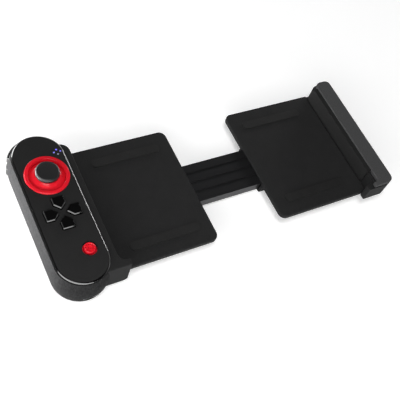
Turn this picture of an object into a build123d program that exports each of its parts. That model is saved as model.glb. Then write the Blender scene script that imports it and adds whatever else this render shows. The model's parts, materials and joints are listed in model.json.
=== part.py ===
from build123d import *
from math import cos, radians, sin, sqrt
import os

# One-handed stretch controller. X runs along the bay from the handle to the far clamp,
# Y from front to back, Z up from the surface it stands on. Lengths are in millimetres.

# The handle's straight length is that of the stick, the pad and the cell in a row
stick_inset = 11.86         # of the stick from the centre of the back round end
pad_from_stick = 22.84
cell_length = 30.4
cell_under_pad = 3.2        # how far the cell reaches behind the pad's centre
cell_past_centre = 0.9      # how far it reaches beyond the centre of the front round end
grip_straight = stick_inset + pad_from_stick - cell_under_pad + cell_length - cell_past_centre
end_y = grip_straight / 2   # the centre of the back round end

# The handle's height is that of the stick's board, gimbal and dome on its floor
grip_floor = 1.6
stick_board_lift = 1.0      # of the stick's board above the floor
board_thickness = 1.2
frame_below = 4.8           # of the stick's pivot above its board
pivot_depth = 11.2          # of the pivot below the face
stick_board_top = grip_floor + stick_board_lift + board_thickness
pivot_height = stick_board_top + frame_below
grip_height = pivot_height + pivot_depth

# Handle: a capsule in plan with barrel-shaped side walls
belly_radius = 15.45        # half width where the side wall is widest
belly_height = 9.0
flank_curve = 29.2          # radius of the barrel curve, seen from the end
heel_round = 1.3
grip_wall = 1.6
face_above_belly = grip_height - belly_height
face_half_width = belly_radius - flank_curve + sqrt(flank_curve ** 2 - face_above_belly ** 2)

# Face cover on top of the handle
cover_thickness = 1.6
cover_bevel = 0.7
cover_seam = 0.2
lip_depth = 1.4
lip_wall = 0.8
static_gap = 0.1            # between pieces that don't move on each other
hole_break = 0.25           # small bevel on the edge of each button hole
face_bottom = grip_height - cover_thickness
rim_height = face_bottom - cover_seam

# Thumb stick
stick_x = 0.17
stick_y = end_y - stick_inset
dome_rise = 2.3             # of the dome's crest above the face
dome_radius = pivot_depth + dome_rise
dome_wall = 0.9
dome_half_angle = 58.0
dome_gap = 0.35
bezel_radius = 11.7
bezel_seat_radius = 11.2
bezel_mouth_radius = 9.3
bezel_crest_radius = 10.5
bezel_rise = 0.9
bezel_lip = 1.0             # depth of the bezel's inner lip below the face
neck_radius = 3.0
neck_depth = 4.6
neck_skirt_radius = 2.6
shaft_radius = 1.5
shaft_overrun = 0.6         # how far the shaft reaches into the cap
foot_radius = 2.1
foot_height = 0.7
cap_radius = 6.2
cap_foot_radius = 5.4
cap_top = 4.3               # above the face
cap_depth = 1.9
cap_bevel = 0.55
cap_dish = 0.35
cap_flank = 0.9             # height of the flared lower side of the cap
cap_base = grip_height + cap_top - cap_depth

# Stick gimbal, its heights taken from the pivot
frame_inner = 11.6
frame_wall = 0.9
frame_floor = 0.8
frame_above = 2.6
frame_top_height = pivot_height + frame_above
cradle_outer = 10.4
cradle_wall = 1.3
cradle_height = 2.4
cradle_pin_radius = 1.0
block_size = 6.0
block_height = 3.0
block_pin_radius = 0.8
pin_gap = 0.05              # running fit of every hinge pin and sliding shaft

# Direction buttons: four house-shaped keys that point inwards
pad_x = 0.1
pad_y = stick_y - pad_from_stick
key_tip = 2.0               # from the pad's centre to the point of a key
key_end = 9.3
key_half_width = 3.15
key_shoulder = 5.0
key_round = 0.5
key_rise = 0.9
key_bevel = 0.4
key_flange = 0.7
key_flange_height = 1.0
key_gap = 0.3
key_flange_bottom = face_bottom - key_flange_height

# Round menu button
home_x = 5.3
home_inset = 3.7            # from the centre of the front round end
home_y = home_inset - end_y
home_radius = 3.4
home_rise = 0.8
home_bevel = 0.5
home_dish_radius = 2.2
home_dish_depth = 0.2

# Rubber key sheet on the main board
bubble_height = 1.7
sheet_thickness = 0.5
sheet_radius = 8.6
sheet_neck = 6.0
sheet_end_radius = 4.4
bubble_foot_radius = 2.6
bubble_top_radius = 1.9
bubble_offset = 5.9         # of a key's bubble from the pad's centre

# Boards and cell in the handle
board_top_height = key_flange_bottom - bubble_height - sheet_thickness
board_bottom = board_top_height - board_thickness
board_margin = 0.7
chip_size = 6.0
chip_height = 0.9
chip_inset = 13.5
chip_y = chip_inset - end_y
cell_width = 19.0
cell_height = 6.4
cell_y = pad_y + cell_under_pad - cell_length / 2
stick_board_width = 18.0
stick_board_length = 19.0

# Charging socket in the front end
charge_board_width = 11.6
charge_board_length = 8.0
charge_board_reach = 12.1   # of its front edge beyond the centre of the round end
charge_board_front = -end_y - charge_board_reach
charge_board_back = charge_board_front + charge_board_length
charge_board_lift = 3.8
charge_board_bottom = grip_floor + charge_board_lift
charge_board_thickness = 1.0
socket_width = 8.9
socket_height = 3.2
socket_length = 7.2
socket_wall = 0.35
socket_x = 1.0
socket_set_back = 0.9       # of the socket's mouth from the outside of the wall
socket_gap = 0.3
tongue_thickness = 0.7
tongue_width = 6.6

# Indicator lights at the back of the face
lamp_from_edge = 3.43       # of the lights' middle from the face's widest line
lamp_x = face_half_width - lamp_from_edge
lamp_from_end = 0.45
lamp_y = end_y + lamp_from_end
lamp_reach_x = 1.75
lamp_reach_y = 1.45
lamp_radius = 0.45
lamp_bar_width = 4.6
lamp_bar_length = 4.2
lamp_bar_thickness = 0.8
lamp_board_gap = 0.8
lamp_board_thickness = 0.7
lamp_post_radius = 0.6

# Case screws: tub bosses below, posts on the cover above
boss_radius = 2.4
post_radius = 2.0
screw_shank_radius = 1.0
screw_head_radius = 1.8
screw_head_height = 1.2
screw_well_radius = 2.0
screw_well_depth = 1.6
screw_end_cover = 0.8       # cover material left above a screw's tip
screw_side = 8.5
cell_front_gap = 0.7
cell_back_gap = 1.4
front_screw_y = -end_y - cell_past_centre - cell_front_gap - boss_radius
middle_screw_y = pad_y + cell_under_pad + cell_back_gap + boss_radius
board_back = middle_screw_y + boss_radius
board_screw_places = [
    (-screw_side, front_screw_y),
    (screw_side, front_screw_y),
    (-screw_side, middle_screw_y),
    (screw_side, middle_screw_y),
]
back_screw_x = 5.5
back_screw_from_end = 7.5
back_screw_place = (back_screw_x, end_y + back_screw_from_end)
screw_places = board_screw_places + [back_screw_place]

# Shoulder keys on the back left of the handle
shoulder_heading = 118.0    # degrees from +X, the way the keys face
shoulder_proud = 0.75       # of the keys beyond the widest part of the wall
shoulder_inset = 2.95       # of their inner faces from the widest part of the wall
shoulder_flange = 0.6
shoulder_radius = belly_radius + shoulder_proud
shoulder_body_radius = belly_radius - shoulder_inset
shoulder_flange_radius = shoulder_body_radius - shoulder_flange
shoulder_bevel = 0.6
shoulder_gap = 0.3
shoulder_key_height = 5.4
trigger_lift = 1.0
trigger_bottom = grip_floor + trigger_lift
trigger_top = trigger_bottom + shoulder_key_height
shoulder_spacing = 1.4      # between the two keys
bumper_bottom = trigger_top + shoulder_spacing
bumper_top = bumper_bottom + shoulder_key_height
bumper_near = -5.0
bumper_far = 8.8
bumper_flange = 1.2
bumper_stem_side = 2.0
trigger_near = -5.8
trigger_far = 10.8
trigger_stem_side = 4.0
trigger_pin_angle = 95.0
trigger_pin_inset = 4.45    # of the pin from the widest part of the wall
trigger_pin_reach = belly_radius - trigger_pin_inset
trigger_pin_radius = 0.8
trigger_boss_radius = 1.8
stem_width = 2.4
switch_width = 4.4
switch_height = 3.4
switch_depth = 0.9
switch_reach = 1.4          # travel left between a stem and its switch
stem_length = 2.8
stem_end = shoulder_body_radius - stem_length
side_board_thickness = 1.0
side_board_start = stem_end - switch_reach - switch_depth - side_board_thickness
side_board_near = -5.0
side_board_far = 6.8
side_board_lift = 0.3
side_board_bottom = grip_floor + side_board_lift
side_board_top = rim_height - lip_depth

# Bay between the jaw and the clamp, about whose middle the bracket is laid out
bay_centre_y = -1.7
bay_length = 158.8
jaw_reach = 1.75            # of the jaw's inner face beyond the handle's wall
jaw_inner = belly_radius + jaw_reach
jaw_front_reach = 39.3
jaw_back_reach = 37.9
jaw_front = bay_centre_y - jaw_front_reach
jaw_back = bay_centre_y + jaw_back_reach
jaw_step = 1.2              # from the handle's face down to the jaw's top
jaw_top_height = grip_height - jaw_step
jaw_bottom = 1.4
jaw_overlap = 7.45          # how far the jaw's ends wrap round the handle
jaw_root = belly_radius - jaw_overlap
jaw_corner_round = 5.0
wing_reach = 5.3
wing_end = jaw_inner + wing_reach
wing_thickness = 3.4
wing_inner = jaw_front + wing_thickness
wing_round = 1.0
wing_heel_round = 3.0
bay_corner_round = 4.0
shell_wall = 1.6
skin = 1.5                  # thickness of decks and base skins
tray_front_reach = 36.8
tray_back_reach = 36.7
tray_front = bay_centre_y - tray_front_reach
tray_back = bay_centre_y + tray_back_reach
near_tray_length = 58.4
tray_end = jaw_inner + near_tray_length
tray_corner_round = 4.0
deck_top = 9.0
deck_bottom = deck_top - skin
tray_bottom = deck_bottom - skin
edge_break = 0.4

# Screws that hold the jaw to the handle
jaw_screw_front = 20.3
jaw_screw_back = 29.2
jaw_screw_ys = [bay_centre_y - jaw_screw_front, bay_centre_y, bay_centre_y + jaw_screw_back]
jaw_screw_drop = 2.8
jaw_screw_height = board_bottom - jaw_screw_drop
jaw_screw_head_reach = 1.1
jaw_boss_radius = 2.2

# Sliding beam and the keels that hold it
beam_half_width = 12.0
beam_side_gap = 0.4
channel_half_width = beam_half_width + beam_side_gap
spine_half_width = channel_half_width + shell_wall
spine_chamfer = 1.2
keel_floor = 1.4
slide_gap = 0.25
beam_bottom = keel_floor + slide_gap
beam_top = deck_bottom - slide_gap
beam_wall = 1.2
beam_inset = 6.8
beam_start = jaw_inner + beam_inset
beam_rib_inset = 6.0
beam_groove_depth = 0.4
beam_groove_width = 1.6
beam_screw_first = 12.0     # of the first pair from the beam's start
beam_screw_last = 9.6       # of the second pair from the tray's end
beam_screw_xs = [beam_start + beam_screw_first, tray_end - beam_screw_last]
beam_screw_edge = 2.4
beam_screw_side = beam_half_width - beam_screw_edge
beam_screw_radius = 0.9
beam_screw_head_radius = 1.7
beam_screw_head_height = 0.8

# Far tray and clamp
clamp_inner = jaw_inner + bay_length
clamp_bar_width = 11.8
clamp_outer = clamp_inner + clamp_bar_width
far_tray_length = 60.0
clamp_tray_start = clamp_inner - far_tray_length
beam_overlap = 24.0         # of the beam inside the far keel
beam_end = clamp_tray_start + beam_overlap
clamp_front_reach = 40.8
clamp_front = bay_centre_y - clamp_front_reach
clamp_back = tray_back
clamp_wing_thickness = 3.2
clamp_bay_front = clamp_front + clamp_wing_thickness
clamp_wing_reach = 5.0
clamp_wing_end = clamp_inner - clamp_wing_reach
clamp_rise = 1.0            # of the clamp's top above the handle's face
clamp_top_height = grip_height + clamp_rise
clamp_cover_height = 2.4
clamp_groove_height = 0.9   # of the dark groove round the clamp, under its cover
clamp_groove_depth = 0.7
clamp_groove_bottom = clamp_top_height - clamp_cover_height - clamp_groove_height
clamp_seam_height = clamp_top_height - clamp_cover_height
clamp_cover_step = 1.7
clamp_cover_inner = clamp_inner + clamp_cover_step
clamp_cover_wing_reach = 3.4
clamp_cover_wing_end = clamp_cover_inner - clamp_cover_wing_reach
clamp_cover_wing_thickness = 2.6
clamp_cover_bay_front = clamp_front + clamp_cover_wing_thickness
clamp_cover_bay_round = 2.6
clamp_front_round = 4.0
clamp_back_round = 3.0
clamp_wing_round = 0.8
clamp_heel_round = 3.0
clamp_foot = 1.3            # bevel round the clamp's lower outer edge
clamp_end_round = 4.0       # of the back corner on the bay's side
clamp_inner_round = 0.4
clamp_cover_skin = 1.4
clamp_seam = 0.15
clamp_screw_inset = 6.0
clamp_screw_x = clamp_inner + clamp_screw_inset
clamp_screw_front = 31.3
clamp_screw_back = 26.7
clamp_screw_ys = [bay_centre_y - clamp_screw_front, bay_centre_y + clamp_screw_back]
clamp_post_radius = 2.3

# Extension springs inside the beam
spring_side = 6.0
spring_radius = 1.4
spring_bore = 0.9
spring_wire = 0.5
spring_pin_radius = 1.0
spring_hook_gap = 0.35
near_pin_inset = 3.4
near_pin_x = beam_start + near_pin_inset
far_pin_inset = 6.2
far_pin_x = clamp_inner + far_pin_inset
spring_lead = 3.0           # from a pin's centre to the first coil

# Rubber facings in the bay
facing = 1.0
facing_front_reach = 30.3
facing_back_reach = 32.7
facing_front = bay_centre_y - facing_front_reach
facing_back = bay_centre_y + facing_back_reach
facing_lift = 0.9
facing_foot = deck_top + facing_lift
facing_rise = 1.6
facing_top = clamp_seam_height + facing_rise
jaw_facing = 0.8
jaw_facing_margin = 1.4
jaw_facing_foot = deck_top + jaw_facing_margin
jaw_facing_top = jaw_top_height - jaw_facing_margin
strip_thickness = 0.6
strip_width = 5.0
strip_offset = 26.5
strip_ys = [bay_centre_y - strip_offset, bay_centre_y + strip_offset]
near_strip_first = 10.8
near_strip_last = 7.6
near_strip_start = jaw_inner + near_strip_first
near_strip_end = tray_end - near_strip_last
far_strip_first = 8.0
far_strip_last = 12.0
far_strip_start = clamp_tray_start + far_strip_first
far_strip_end = clamp_inner - far_strip_last

overrun = 1.0               # how far a cutter passes its surface


def flank_reach(height, inset=0.0):
    """Half width of the handle at a height, with the wall's outside moved in by inset."""
    rise = height - belly_height
    return belly_radius - flank_curve + sqrt((flank_curve - inset) ** 2 - rise ** 2)


def block(x0, x1, y0, y1, z0, z1):
    return Pos((x0 + x1) / 2, (y0 + y1) / 2, z0) * extrude(Rectangle(x1 - x0, y1 - y0), z1 - z0)


def rod(x, y, z0, z1, radius):
    return Pos(x, y, z0) * extrude(Circle(radius), z1 - z0)


def prism(outline, z0, z1):
    return Pos(0, 0, z0) * extrude(outline, z1 - z0)


def corners(points, rounds):
    """A closed outline of straight runs, each corner with its own round; 0 keeps it sharp."""
    face = make_face(Polyline(*points, close=True))
    for point, size in zip(points, rounds):
        if size:
            corner = face.vertices().sort_by_distance((point[0], point[1], 0))[0]
            face = fillet(corner, size)
    return face


def section(points):
    """A half section in the XZ plane, from (distance from the axis, height) pairs."""
    return make_face(Polyline(*[(x, 0, z) for x, z in points], close=True))


def turned(points, x, y):
    return Pos(x, y, 0) * revolve(section(points), Axis.Z, 360)


def round_the_capsule(half):
    """Carry a half section round the handle: two turned ends joined by straight sides."""
    back = Pos(0, end_y, 0) * revolve(half, Axis.Z, 180)
    front = mirror(back, Plane.XZ)
    right = extrude(half, end_y, both=True)
    left = mirror(right, Plane.YZ)
    return back + front + right + left


def barrel_section(inset, z0, z1, heel):
    """Half section of the barrel, solid to the axis, its side wall a true arc."""
    middle = (z0 + z1) / 2
    side = ThreePointArc(
        (flank_reach(z0, inset), 0, z0),
        (flank_reach(middle, inset), 0, middle),
        (flank_reach(z1, inset), 0, z1),
    )
    rest = Polyline(side @ 1, (0, 0, z1), (0, 0, z0), side @ 0)
    face = make_face(side + rest)
    foot = face.vertices().sort_by_distance(side @ 0)[0]
    return fillet(foot, heel)


def add(solid, pieces):
    for piece in pieces:
        solid = solid + piece
    return solid


def cut(solid, tools):
    for tool in tools:
        solid = solid - tool
    return solid


def key_outline(grow, turn):
    """House-shaped outline of one direction key, grown by grow and turned about the pad's centre."""
    tip, end = key_tip, key_end
    house = corners(
        [
            (tip, 0),
            (key_shoulder, -key_half_width),
            (end, -key_half_width),
            (end, key_half_width),
            (key_shoulder, key_half_width),
        ],
        [key_round] * 5,
    )
    if grow:
        house = offset(house, grow, kind=Kind.ARC)
    return Pos(pad_x, pad_y) * Rot(0, 0, turn) * house


key_turns = {"right": 0, "up": 90, "left": 180, "down": 270}


def lamp_places():
    reaches = [(0, lamp_reach_y), (0, -lamp_reach_y), (lamp_reach_x, 0), (-lamp_reach_x, 0)]
    return [(lamp_x + dx, lamp_y + dy) for dx, dy in reaches]


# Shoulder keys are laid out from the back end's centre: side across, out along the heading
def shoulder_frame(shape):
    return Pos(0, end_y, 0) * Rot(0, 0, shoulder_heading - 90) * shape


def shoulder_ring(inner, outer, bevel, side0, side1, z0, z1):
    """The part of a ring round the back end that lies between two planes along the heading."""
    face = section([(inner, z0), (outer, z0), (outer, z1), (inner, z1)])
    if bevel:
        face = chamfer(face.vertices().group_by(Axis.X)[-1], bevel)
    ring = revolve(face, Axis.Z, 360)
    return shoulder_frame(ring & block(-side1, -side0, 0, outer + overrun, z0, z1))


def shoulder_block(side0, side1, out0, out1, z0, z1):
    return shoulder_frame(block(-side1, -side0, out0, out1, z0, z1))


def trigger_pin_place():
    angle = radians(trigger_pin_angle)
    return trigger_pin_reach * cos(angle), end_y + trigger_pin_reach * sin(angle)


def grip_body():
    return round_the_capsule(barrel_section(0, 0, rim_height, heel_round))


def make_grip_tub(body):
    hollow = round_the_capsule(barrel_section(grip_wall, grip_floor, rim_height + overrun, heel_round))
    tub = body - hollow
    for x, y in screw_places:
        top = board_top_height if (x, y) == back_screw_place else board_bottom
        tub = tub + rod(x, y, grip_floor, top, boss_radius)
        tub = tub - rod(x, y, -overrun, top + overrun, screw_shank_radius + static_gap)
        tub = tub - rod(x, y, -overrun, screw_well_depth, screw_well_radius)
    # Ledges for the stick board and the charging board
    ledge_x = stick_board_width / 2 - boss_radius
    ledge_y = stick_board_length / 2 - boss_radius
    ledge_top = stick_board_top - board_thickness
    for dx in (-ledge_x, ledge_x):
        for dy in (-ledge_y, ledge_y):
            tub = tub + rod(stick_x + dx, stick_y + dy, grip_floor, ledge_top, boss_radius / 2)
    ledge_side = charge_board_width / 2 - boss_radius / 2
    for dx in (-ledge_side, ledge_side):
        tub = tub + rod(
            dx, charge_board_back - boss_radius / 2, grip_floor, charge_board_bottom, boss_radius / 2
        )
    # Grooved rails that hold the side board upright
    rail_out = side_board_start + side_board_thickness / 2
    for side in (side_board_near + 2 * stem_width, side_board_far - stem_width):
        tub = tub + shoulder_block(
            side - grip_wall / 2, side + grip_wall / 2, rail_out - grip_wall, rail_out + grip_wall,
            grip_floor, side_board_bottom + grip_wall,
        )
    # Windows for the shoulder keys
    tub = tub - shoulder_block(
        bumper_near - shoulder_gap, bumper_far + shoulder_gap, shoulder_flange_radius / 2,
        shoulder_radius + overrun, bumper_bottom - shoulder_gap, bumper_top + shoulder_gap,
    )
    tub = tub - shoulder_block(
        trigger_near - shoulder_gap, trigger_far + shoulder_gap, shoulder_flange_radius / 2,
        shoulder_radius + overrun, trigger_bottom - shoulder_gap, trigger_top + shoulder_gap,
    )
    tub = tub - shoulder_block(
        side_board_near, side_board_far, side_board_start, side_board_start + side_board_thickness,
        side_board_bottom, side_board_top,
    )
    # Boss and bore of the trigger's pin, then the socket's window and the jaw's screw seats
    pin_x, pin_y = trigger_pin_place()
    tub = tub + rod(pin_x, pin_y, grip_floor, trigger_bottom - static_gap, trigger_boss_radius)
    tub = tub - rod(pin_x, pin_y, grip_floor / 2, grip_height, trigger_pin_radius)
    tub = tub - socket_window()
    for y in jaw_screw_ys:
        tub = tub + Pos(jaw_screw_seat(), y, jaw_screw_height) * Rot(0, 90, 0) * extrude(
            Circle(screw_head_radius), grip_wall / 2
        )
        tub = tub - Pos(jaw_root, y, jaw_screw_height) * Rot(0, 90, 0) * extrude(
            Circle(screw_shank_radius + static_gap), jaw_inner - jaw_root
        )
    return tub


def socket_window():
    """Long round-ended window through the front wall for the charging plug."""
    mouth = SlotOverall(socket_width + 2 * socket_gap, socket_height + 2 * socket_gap)
    height = charge_board_bottom - socket_height / 2
    wall_y = -end_y - flank_reach(height) - overrun
    depth = socket_length
    return Pos(socket_x, wall_y, height) * Rot(90, 0, 0) * extrude(mouth, -depth)


def make_face_cover():
    edge = flank_reach(grip_height - cover_bevel)
    plate = round_the_capsule(
        section(
            [
                (0, face_bottom),
                (edge, face_bottom),
                (edge, grip_height - cover_bevel),
                (edge - cover_bevel, grip_height),
                (0, grip_height),
            ]
        )
    )
    lip_edge = flank_reach(rim_height, grip_wall) - static_gap
    lip = round_the_capsule(
        section(
            [
                (lip_edge - lip_wall, face_bottom - lip_depth),
                (lip_edge, face_bottom - lip_depth),
                (lip_edge, face_bottom),
                (lip_edge - lip_wall, face_bottom),
            ]
        )
    )
    cover = plate + lip
    for x, y in screw_places:
        cover = cover + rod(x, y, board_top_height, face_bottom, post_radius)
        cover = cover - rod(
            x, y, board_top_height - overrun, grip_height - screw_end_cover, screw_shank_radius
        )
    lamp_post_x = lamp_bar_width / 2 - lamp_post_radius
    lamp_post_y = lamp_bar_length / 2 + lamp_post_radius
    lamp_board_top = face_bottom - lamp_bar_thickness - lamp_board_gap
    for dx, dy in ((-lamp_post_x, lamp_post_y), (lamp_post_x / 2, -lamp_post_y)):
        cover = cover + rod(lamp_x + dx, lamp_y + dy, lamp_board_top, face_bottom, lamp_post_radius)
    cover = cover - rod(stick_x, stick_y, face_bottom - lip_depth, grip_height + overrun, bezel_seat_radius)
    for turn in key_turns.values():
        cover = cover - prism(key_outline(key_gap, turn), face_bottom - overrun, grip_height + overrun)
        brim = key_outline(key_gap + hole_break, turn)
        cover = cover - prism(brim, grip_height - hole_break, grip_height + overrun)
    cover = cover - rod(home_x, home_y, face_bottom - overrun, grip_height + overrun, home_radius + key_gap)
    brim_radius = home_radius + key_gap + hole_break
    cover = cover - rod(home_x, home_y, grip_height - hole_break, grip_height + overrun, brim_radius)
    for x, y in lamp_places():
        cover = cover - rod(x, y, face_bottom - overrun, grip_height + overrun, lamp_radius)
    return cover


def make_stick_bezel():
    """Ring with a rounded crest; its underside keeps off the dome by one gap all round."""
    clear = dome_radius + dome_gap
    base_r = sqrt(clear ** 2 - (face_bottom - pivot_height) ** 2)
    seat = bezel_seat_radius - static_gap
    lip_z = grip_height - bezel_lip
    crest_z = grip_height + bezel_rise
    mouth_side = (bezel_mouth_radius + bezel_crest_radius) / 2
    inner = ThreePointArc(
        (bezel_mouth_radius, 0, grip_height), (mouth_side - static_gap, 0, crest_z - static_gap * 2),
        (bezel_crest_radius, 0, crest_z),
    )
    outer_side = (bezel_radius + bezel_crest_radius) / 2
    outer = ThreePointArc(
        (bezel_crest_radius, 0, crest_z), (outer_side + static_gap, 0, crest_z - static_gap * 2),
        (bezel_radius, 0, grip_height + static_gap),
    )
    under = Polyline(
        (bezel_radius, 0, grip_height + static_gap), (bezel_radius, 0, grip_height), (seat, 0, grip_height),
        (seat, 0, face_bottom), (base_r, 0, face_bottom), (bezel_mouth_radius, 0, lip_z),
        (bezel_mouth_radius, 0, grip_height),
    )
    return Pos(stick_x, stick_y, 0) * revolve(make_face(inner + outer + under), Axis.Z, 360)


def make_stick_dome():
    """Spherical skirt about the pivot with a hub that grips the shaft."""
    angle = radians(dome_half_angle)
    half = angle / 2
    inner_radius = dome_radius - dome_wall

    def on_ball(radius, at):
        return radius * sin(at), 0, pivot_height + radius * cos(at)

    def ball_height(radius, reach):
        return pivot_height + sqrt(radius ** 2 - reach ** 2)

    outside = ThreePointArc(
        (neck_radius, 0, ball_height(dome_radius, neck_radius)), on_ball(dome_radius, half),
        on_ball(dome_radius, angle),
    )
    inside = ThreePointArc(
        on_ball(inner_radius, angle), on_ball(inner_radius, half),
        (neck_skirt_radius, 0, ball_height(inner_radius, neck_skirt_radius)),
    )
    hub = Polyline(
        inside @ 1, (neck_skirt_radius, 0, cap_base - neck_depth), (shaft_radius, 0, cap_base - neck_depth),
        (shaft_radius, 0, cap_base), (neck_radius, 0, cap_base), outside @ 0,
    )
    rim = Line(outside @ 1, inside @ 0)
    return Pos(stick_x, stick_y, 0) * revolve(make_face(outside + rim + inside + hub), Axis.Z, 360)


def make_thumb_cap():
    top = grip_height + cap_top
    dish_edge = cap_radius - 2 * cap_bevel
    skirt = cap_base + static_gap
    profile = Polyline(
        (dish_edge, 0, top), (cap_radius - cap_bevel, 0, top), (cap_radius, 0, top - cap_bevel),
        (cap_radius, 0, skirt + cap_flank), (cap_foot_radius, 0, skirt), (neck_radius, 0, skirt),
        (neck_radius, 0, cap_base), (shaft_radius, 0, cap_base), (shaft_radius, 0, cap_base + shaft_overrun),
        (0, 0, cap_base + shaft_overrun), (0, 0, top - cap_dish),
    )
    reach = dish_edge / 2
    curve = (dish_edge ** 2 + cap_dish ** 2) / (2 * cap_dish)
    dish_z = top - cap_dish + curve - sqrt(curve ** 2 - reach ** 2)
    dish = ThreePointArc((0, 0, top - cap_dish), (reach, 0, dish_z), (dish_edge, 0, top))
    return Pos(stick_x, stick_y, 0) * revolve(make_face(profile + dish), Axis.Z, 360)


def make_stick_shaft():
    foot_top = pivot_height - block_height / 2 - 2 * static_gap
    foot = rod(stick_x, stick_y, foot_top - foot_height, foot_top, foot_radius)
    return foot + rod(stick_x, stick_y, foot_top, cap_base + shaft_overrun, shaft_radius)


def cross_rod(x, y, z, radius, length, turn):
    """A rod along X, or along Y when turned by 90, centred on a point."""
    bar = Rot(0, 90, 0) * Pos(0, 0, -length / 2) * extrude(Circle(radius), length)
    return Pos(x, y, z) * Rot(0, 0, turn) * bar


def make_stick_frame():
    half = frame_inner / 2 + frame_wall
    inner = frame_inner / 2
    shell = block(
        stick_x - half, stick_x + half, stick_y - half, stick_y + half, stick_board_top, frame_top_height
    )
    shell = shell - block(
        stick_x - inner, stick_x + inner, stick_y - inner, stick_y + inner,
        stick_board_top + frame_floor, frame_top_height + overrun,
    )
    bearing = cross_rod(
        stick_x, stick_y, pivot_height, cradle_pin_radius + pin_gap, 2 * half + overrun, 90
    )
    # A window in each side wall shows the cradle, as the pressed frames of such sticks do
    side_window = block(
        stick_x - half - overrun, stick_x + half + overrun, stick_y - inner / 2, stick_y + inner / 2,
        pivot_height - cradle_height / 2, frame_top_height + overrun,
    )
    return shell - bearing - side_window


def make_gimbal_cradle():
    half = cradle_outer / 2
    inner = half - cradle_wall
    low = pivot_height - cradle_height / 2
    high = pivot_height + cradle_height / 2
    ring = block(stick_x - half, stick_x + half, stick_y - half, stick_y + half, low, high)
    ring = ring + cross_rod(
        stick_x, stick_y, pivot_height, cradle_pin_radius, frame_inner + 2 * frame_wall, 90
    )
    ring = ring - block(
        stick_x - inner, stick_x + inner, stick_y - inner, stick_y + inner, low - overrun, high + overrun
    )
    return ring - cross_rod(
        stick_x, stick_y, pivot_height, block_pin_radius + pin_gap, cradle_outer + overrun, 0
    )


def make_gimbal_block():
    half = block_size / 2
    low = pivot_height - block_height / 2
    high = pivot_height + block_height / 2
    body = block(stick_x - half, stick_x + half, stick_y - half, stick_y + half, low, high)
    body = body + cross_rod(stick_x, stick_y, pivot_height, block_pin_radius, cradle_outer, 0)
    return body - rod(stick_x, stick_y, low - overrun, high + overrun, shaft_radius + pin_gap)


def make_key(turn):
    top = grip_height + key_rise
    stalk = prism(key_outline(0, turn), key_flange_bottom, top)
    stalk = chamfer(stalk.faces().sort_by(Axis.Z)[-1].edges(), key_bevel)
    return stalk + prism(key_outline(key_flange, turn), key_flange_bottom, face_bottom)


def make_home_button():
    top = grip_height + home_rise
    profile = [
        (0, key_flange_bottom),
        (home_radius + key_flange, key_flange_bottom),
        (home_radius + key_flange, face_bottom),
        (home_radius, face_bottom),
        (home_radius, top - home_bevel),
        (home_radius - home_bevel, top),
        (home_dish_radius, top),
        (home_dish_radius - home_dish_depth, top - home_dish_depth),
        (0, top - home_dish_depth),
    ]
    return turned(profile, home_x, home_y)


def make_key_sheet():
    pad = Pos(pad_x, pad_y) * Circle(sheet_radius)
    neck = Pos(home_x, (home_y + pad_y) / 2) * Rectangle(sheet_neck, pad_y - home_y)
    end = Pos(home_x, home_y) * Circle(sheet_end_radius)
    sheet = prism(pad + neck + end, board_top_height, board_top_height + sheet_thickness)
    places = [(home_x, home_y)]
    for turn in key_turns.values():
        angle = radians(turn)
        places.append((pad_x + bubble_offset * cos(angle), pad_y + bubble_offset * sin(angle)))
    base = board_top_height + sheet_thickness
    bubble = [
        (0, base), (bubble_foot_radius, base), (bubble_top_radius, key_flange_bottom), (0, key_flange_bottom)
    ]
    return add(sheet, [turned(bubble, x, y) for x, y in places])


def make_main_board():
    width = flank_reach(board_top_height, grip_wall) - board_margin
    capsule = Rot(0, 0, 90) * SlotCenterToCenter(grip_straight, 2 * width)
    front = -end_y - width
    kept = Pos(0, (front + board_back) / 2) * Rectangle(2 * width, board_back - front)
    board = prism(capsule & kept, board_bottom, board_top_height)
    shafts = [
        rod(x, y, board_bottom - overrun, board_top_height + overrun, screw_shank_radius + static_gap)
        for x, y in board_screw_places
    ]
    return cut(board, shafts)


def make_control_chip():
    return block(
        -chip_size / 2, chip_size / 2, chip_y - chip_size / 2, chip_y + chip_size / 2,
        board_bottom - chip_height, board_bottom,
    )


def make_cell():
    cell = block(
        -cell_width / 2, cell_width / 2, cell_y - cell_length / 2, cell_y + cell_length / 2,
        grip_floor, grip_floor + cell_height,
    )
    return fillet(cell.edges().filter_by(Axis.Y), cell_height / 3)


def make_stick_board():
    return block(
        stick_x - stick_board_width / 2, stick_x + stick_board_width / 2,
        stick_y - stick_board_length / 2, stick_y + stick_board_length / 2,
        stick_board_top - board_thickness, stick_board_top,
    )


def make_charge_board():
    return block(
        -charge_board_width / 2, charge_board_width / 2, charge_board_front, charge_board_back,
        charge_board_bottom, charge_board_bottom + charge_board_thickness,
    )


def make_charge_socket():
    """Round-ended metal sleeve open to the front, with a contact tongue inside."""
    height = charge_board_bottom - socket_height / 2
    mouth_y = -end_y - flank_reach(height) + socket_set_back
    outside = extrude(SlotOverall(socket_width, socket_height), -socket_length)
    inner_width = socket_width - 2 * socket_wall
    inner_height = socket_height - 2 * socket_wall
    inside = extrude(SlotOverall(inner_width, inner_height), -(socket_length - socket_wall))
    tongue = Box(tongue_width, tongue_thickness, socket_length - 2 * socket_wall)
    sleeve = outside - inside + Pos(0, 0, -socket_length / 2) * tongue
    return Pos(socket_x, mouth_y, height) * Rot(90, 0, 0) * sleeve


def inside_the_lip():
    """The space at the handle's back end that the cover's lip leaves free."""
    return rod(0, end_y, 0, grip_height, flank_reach(rim_height, grip_wall) - lip_wall - 2 * static_gap)


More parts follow.
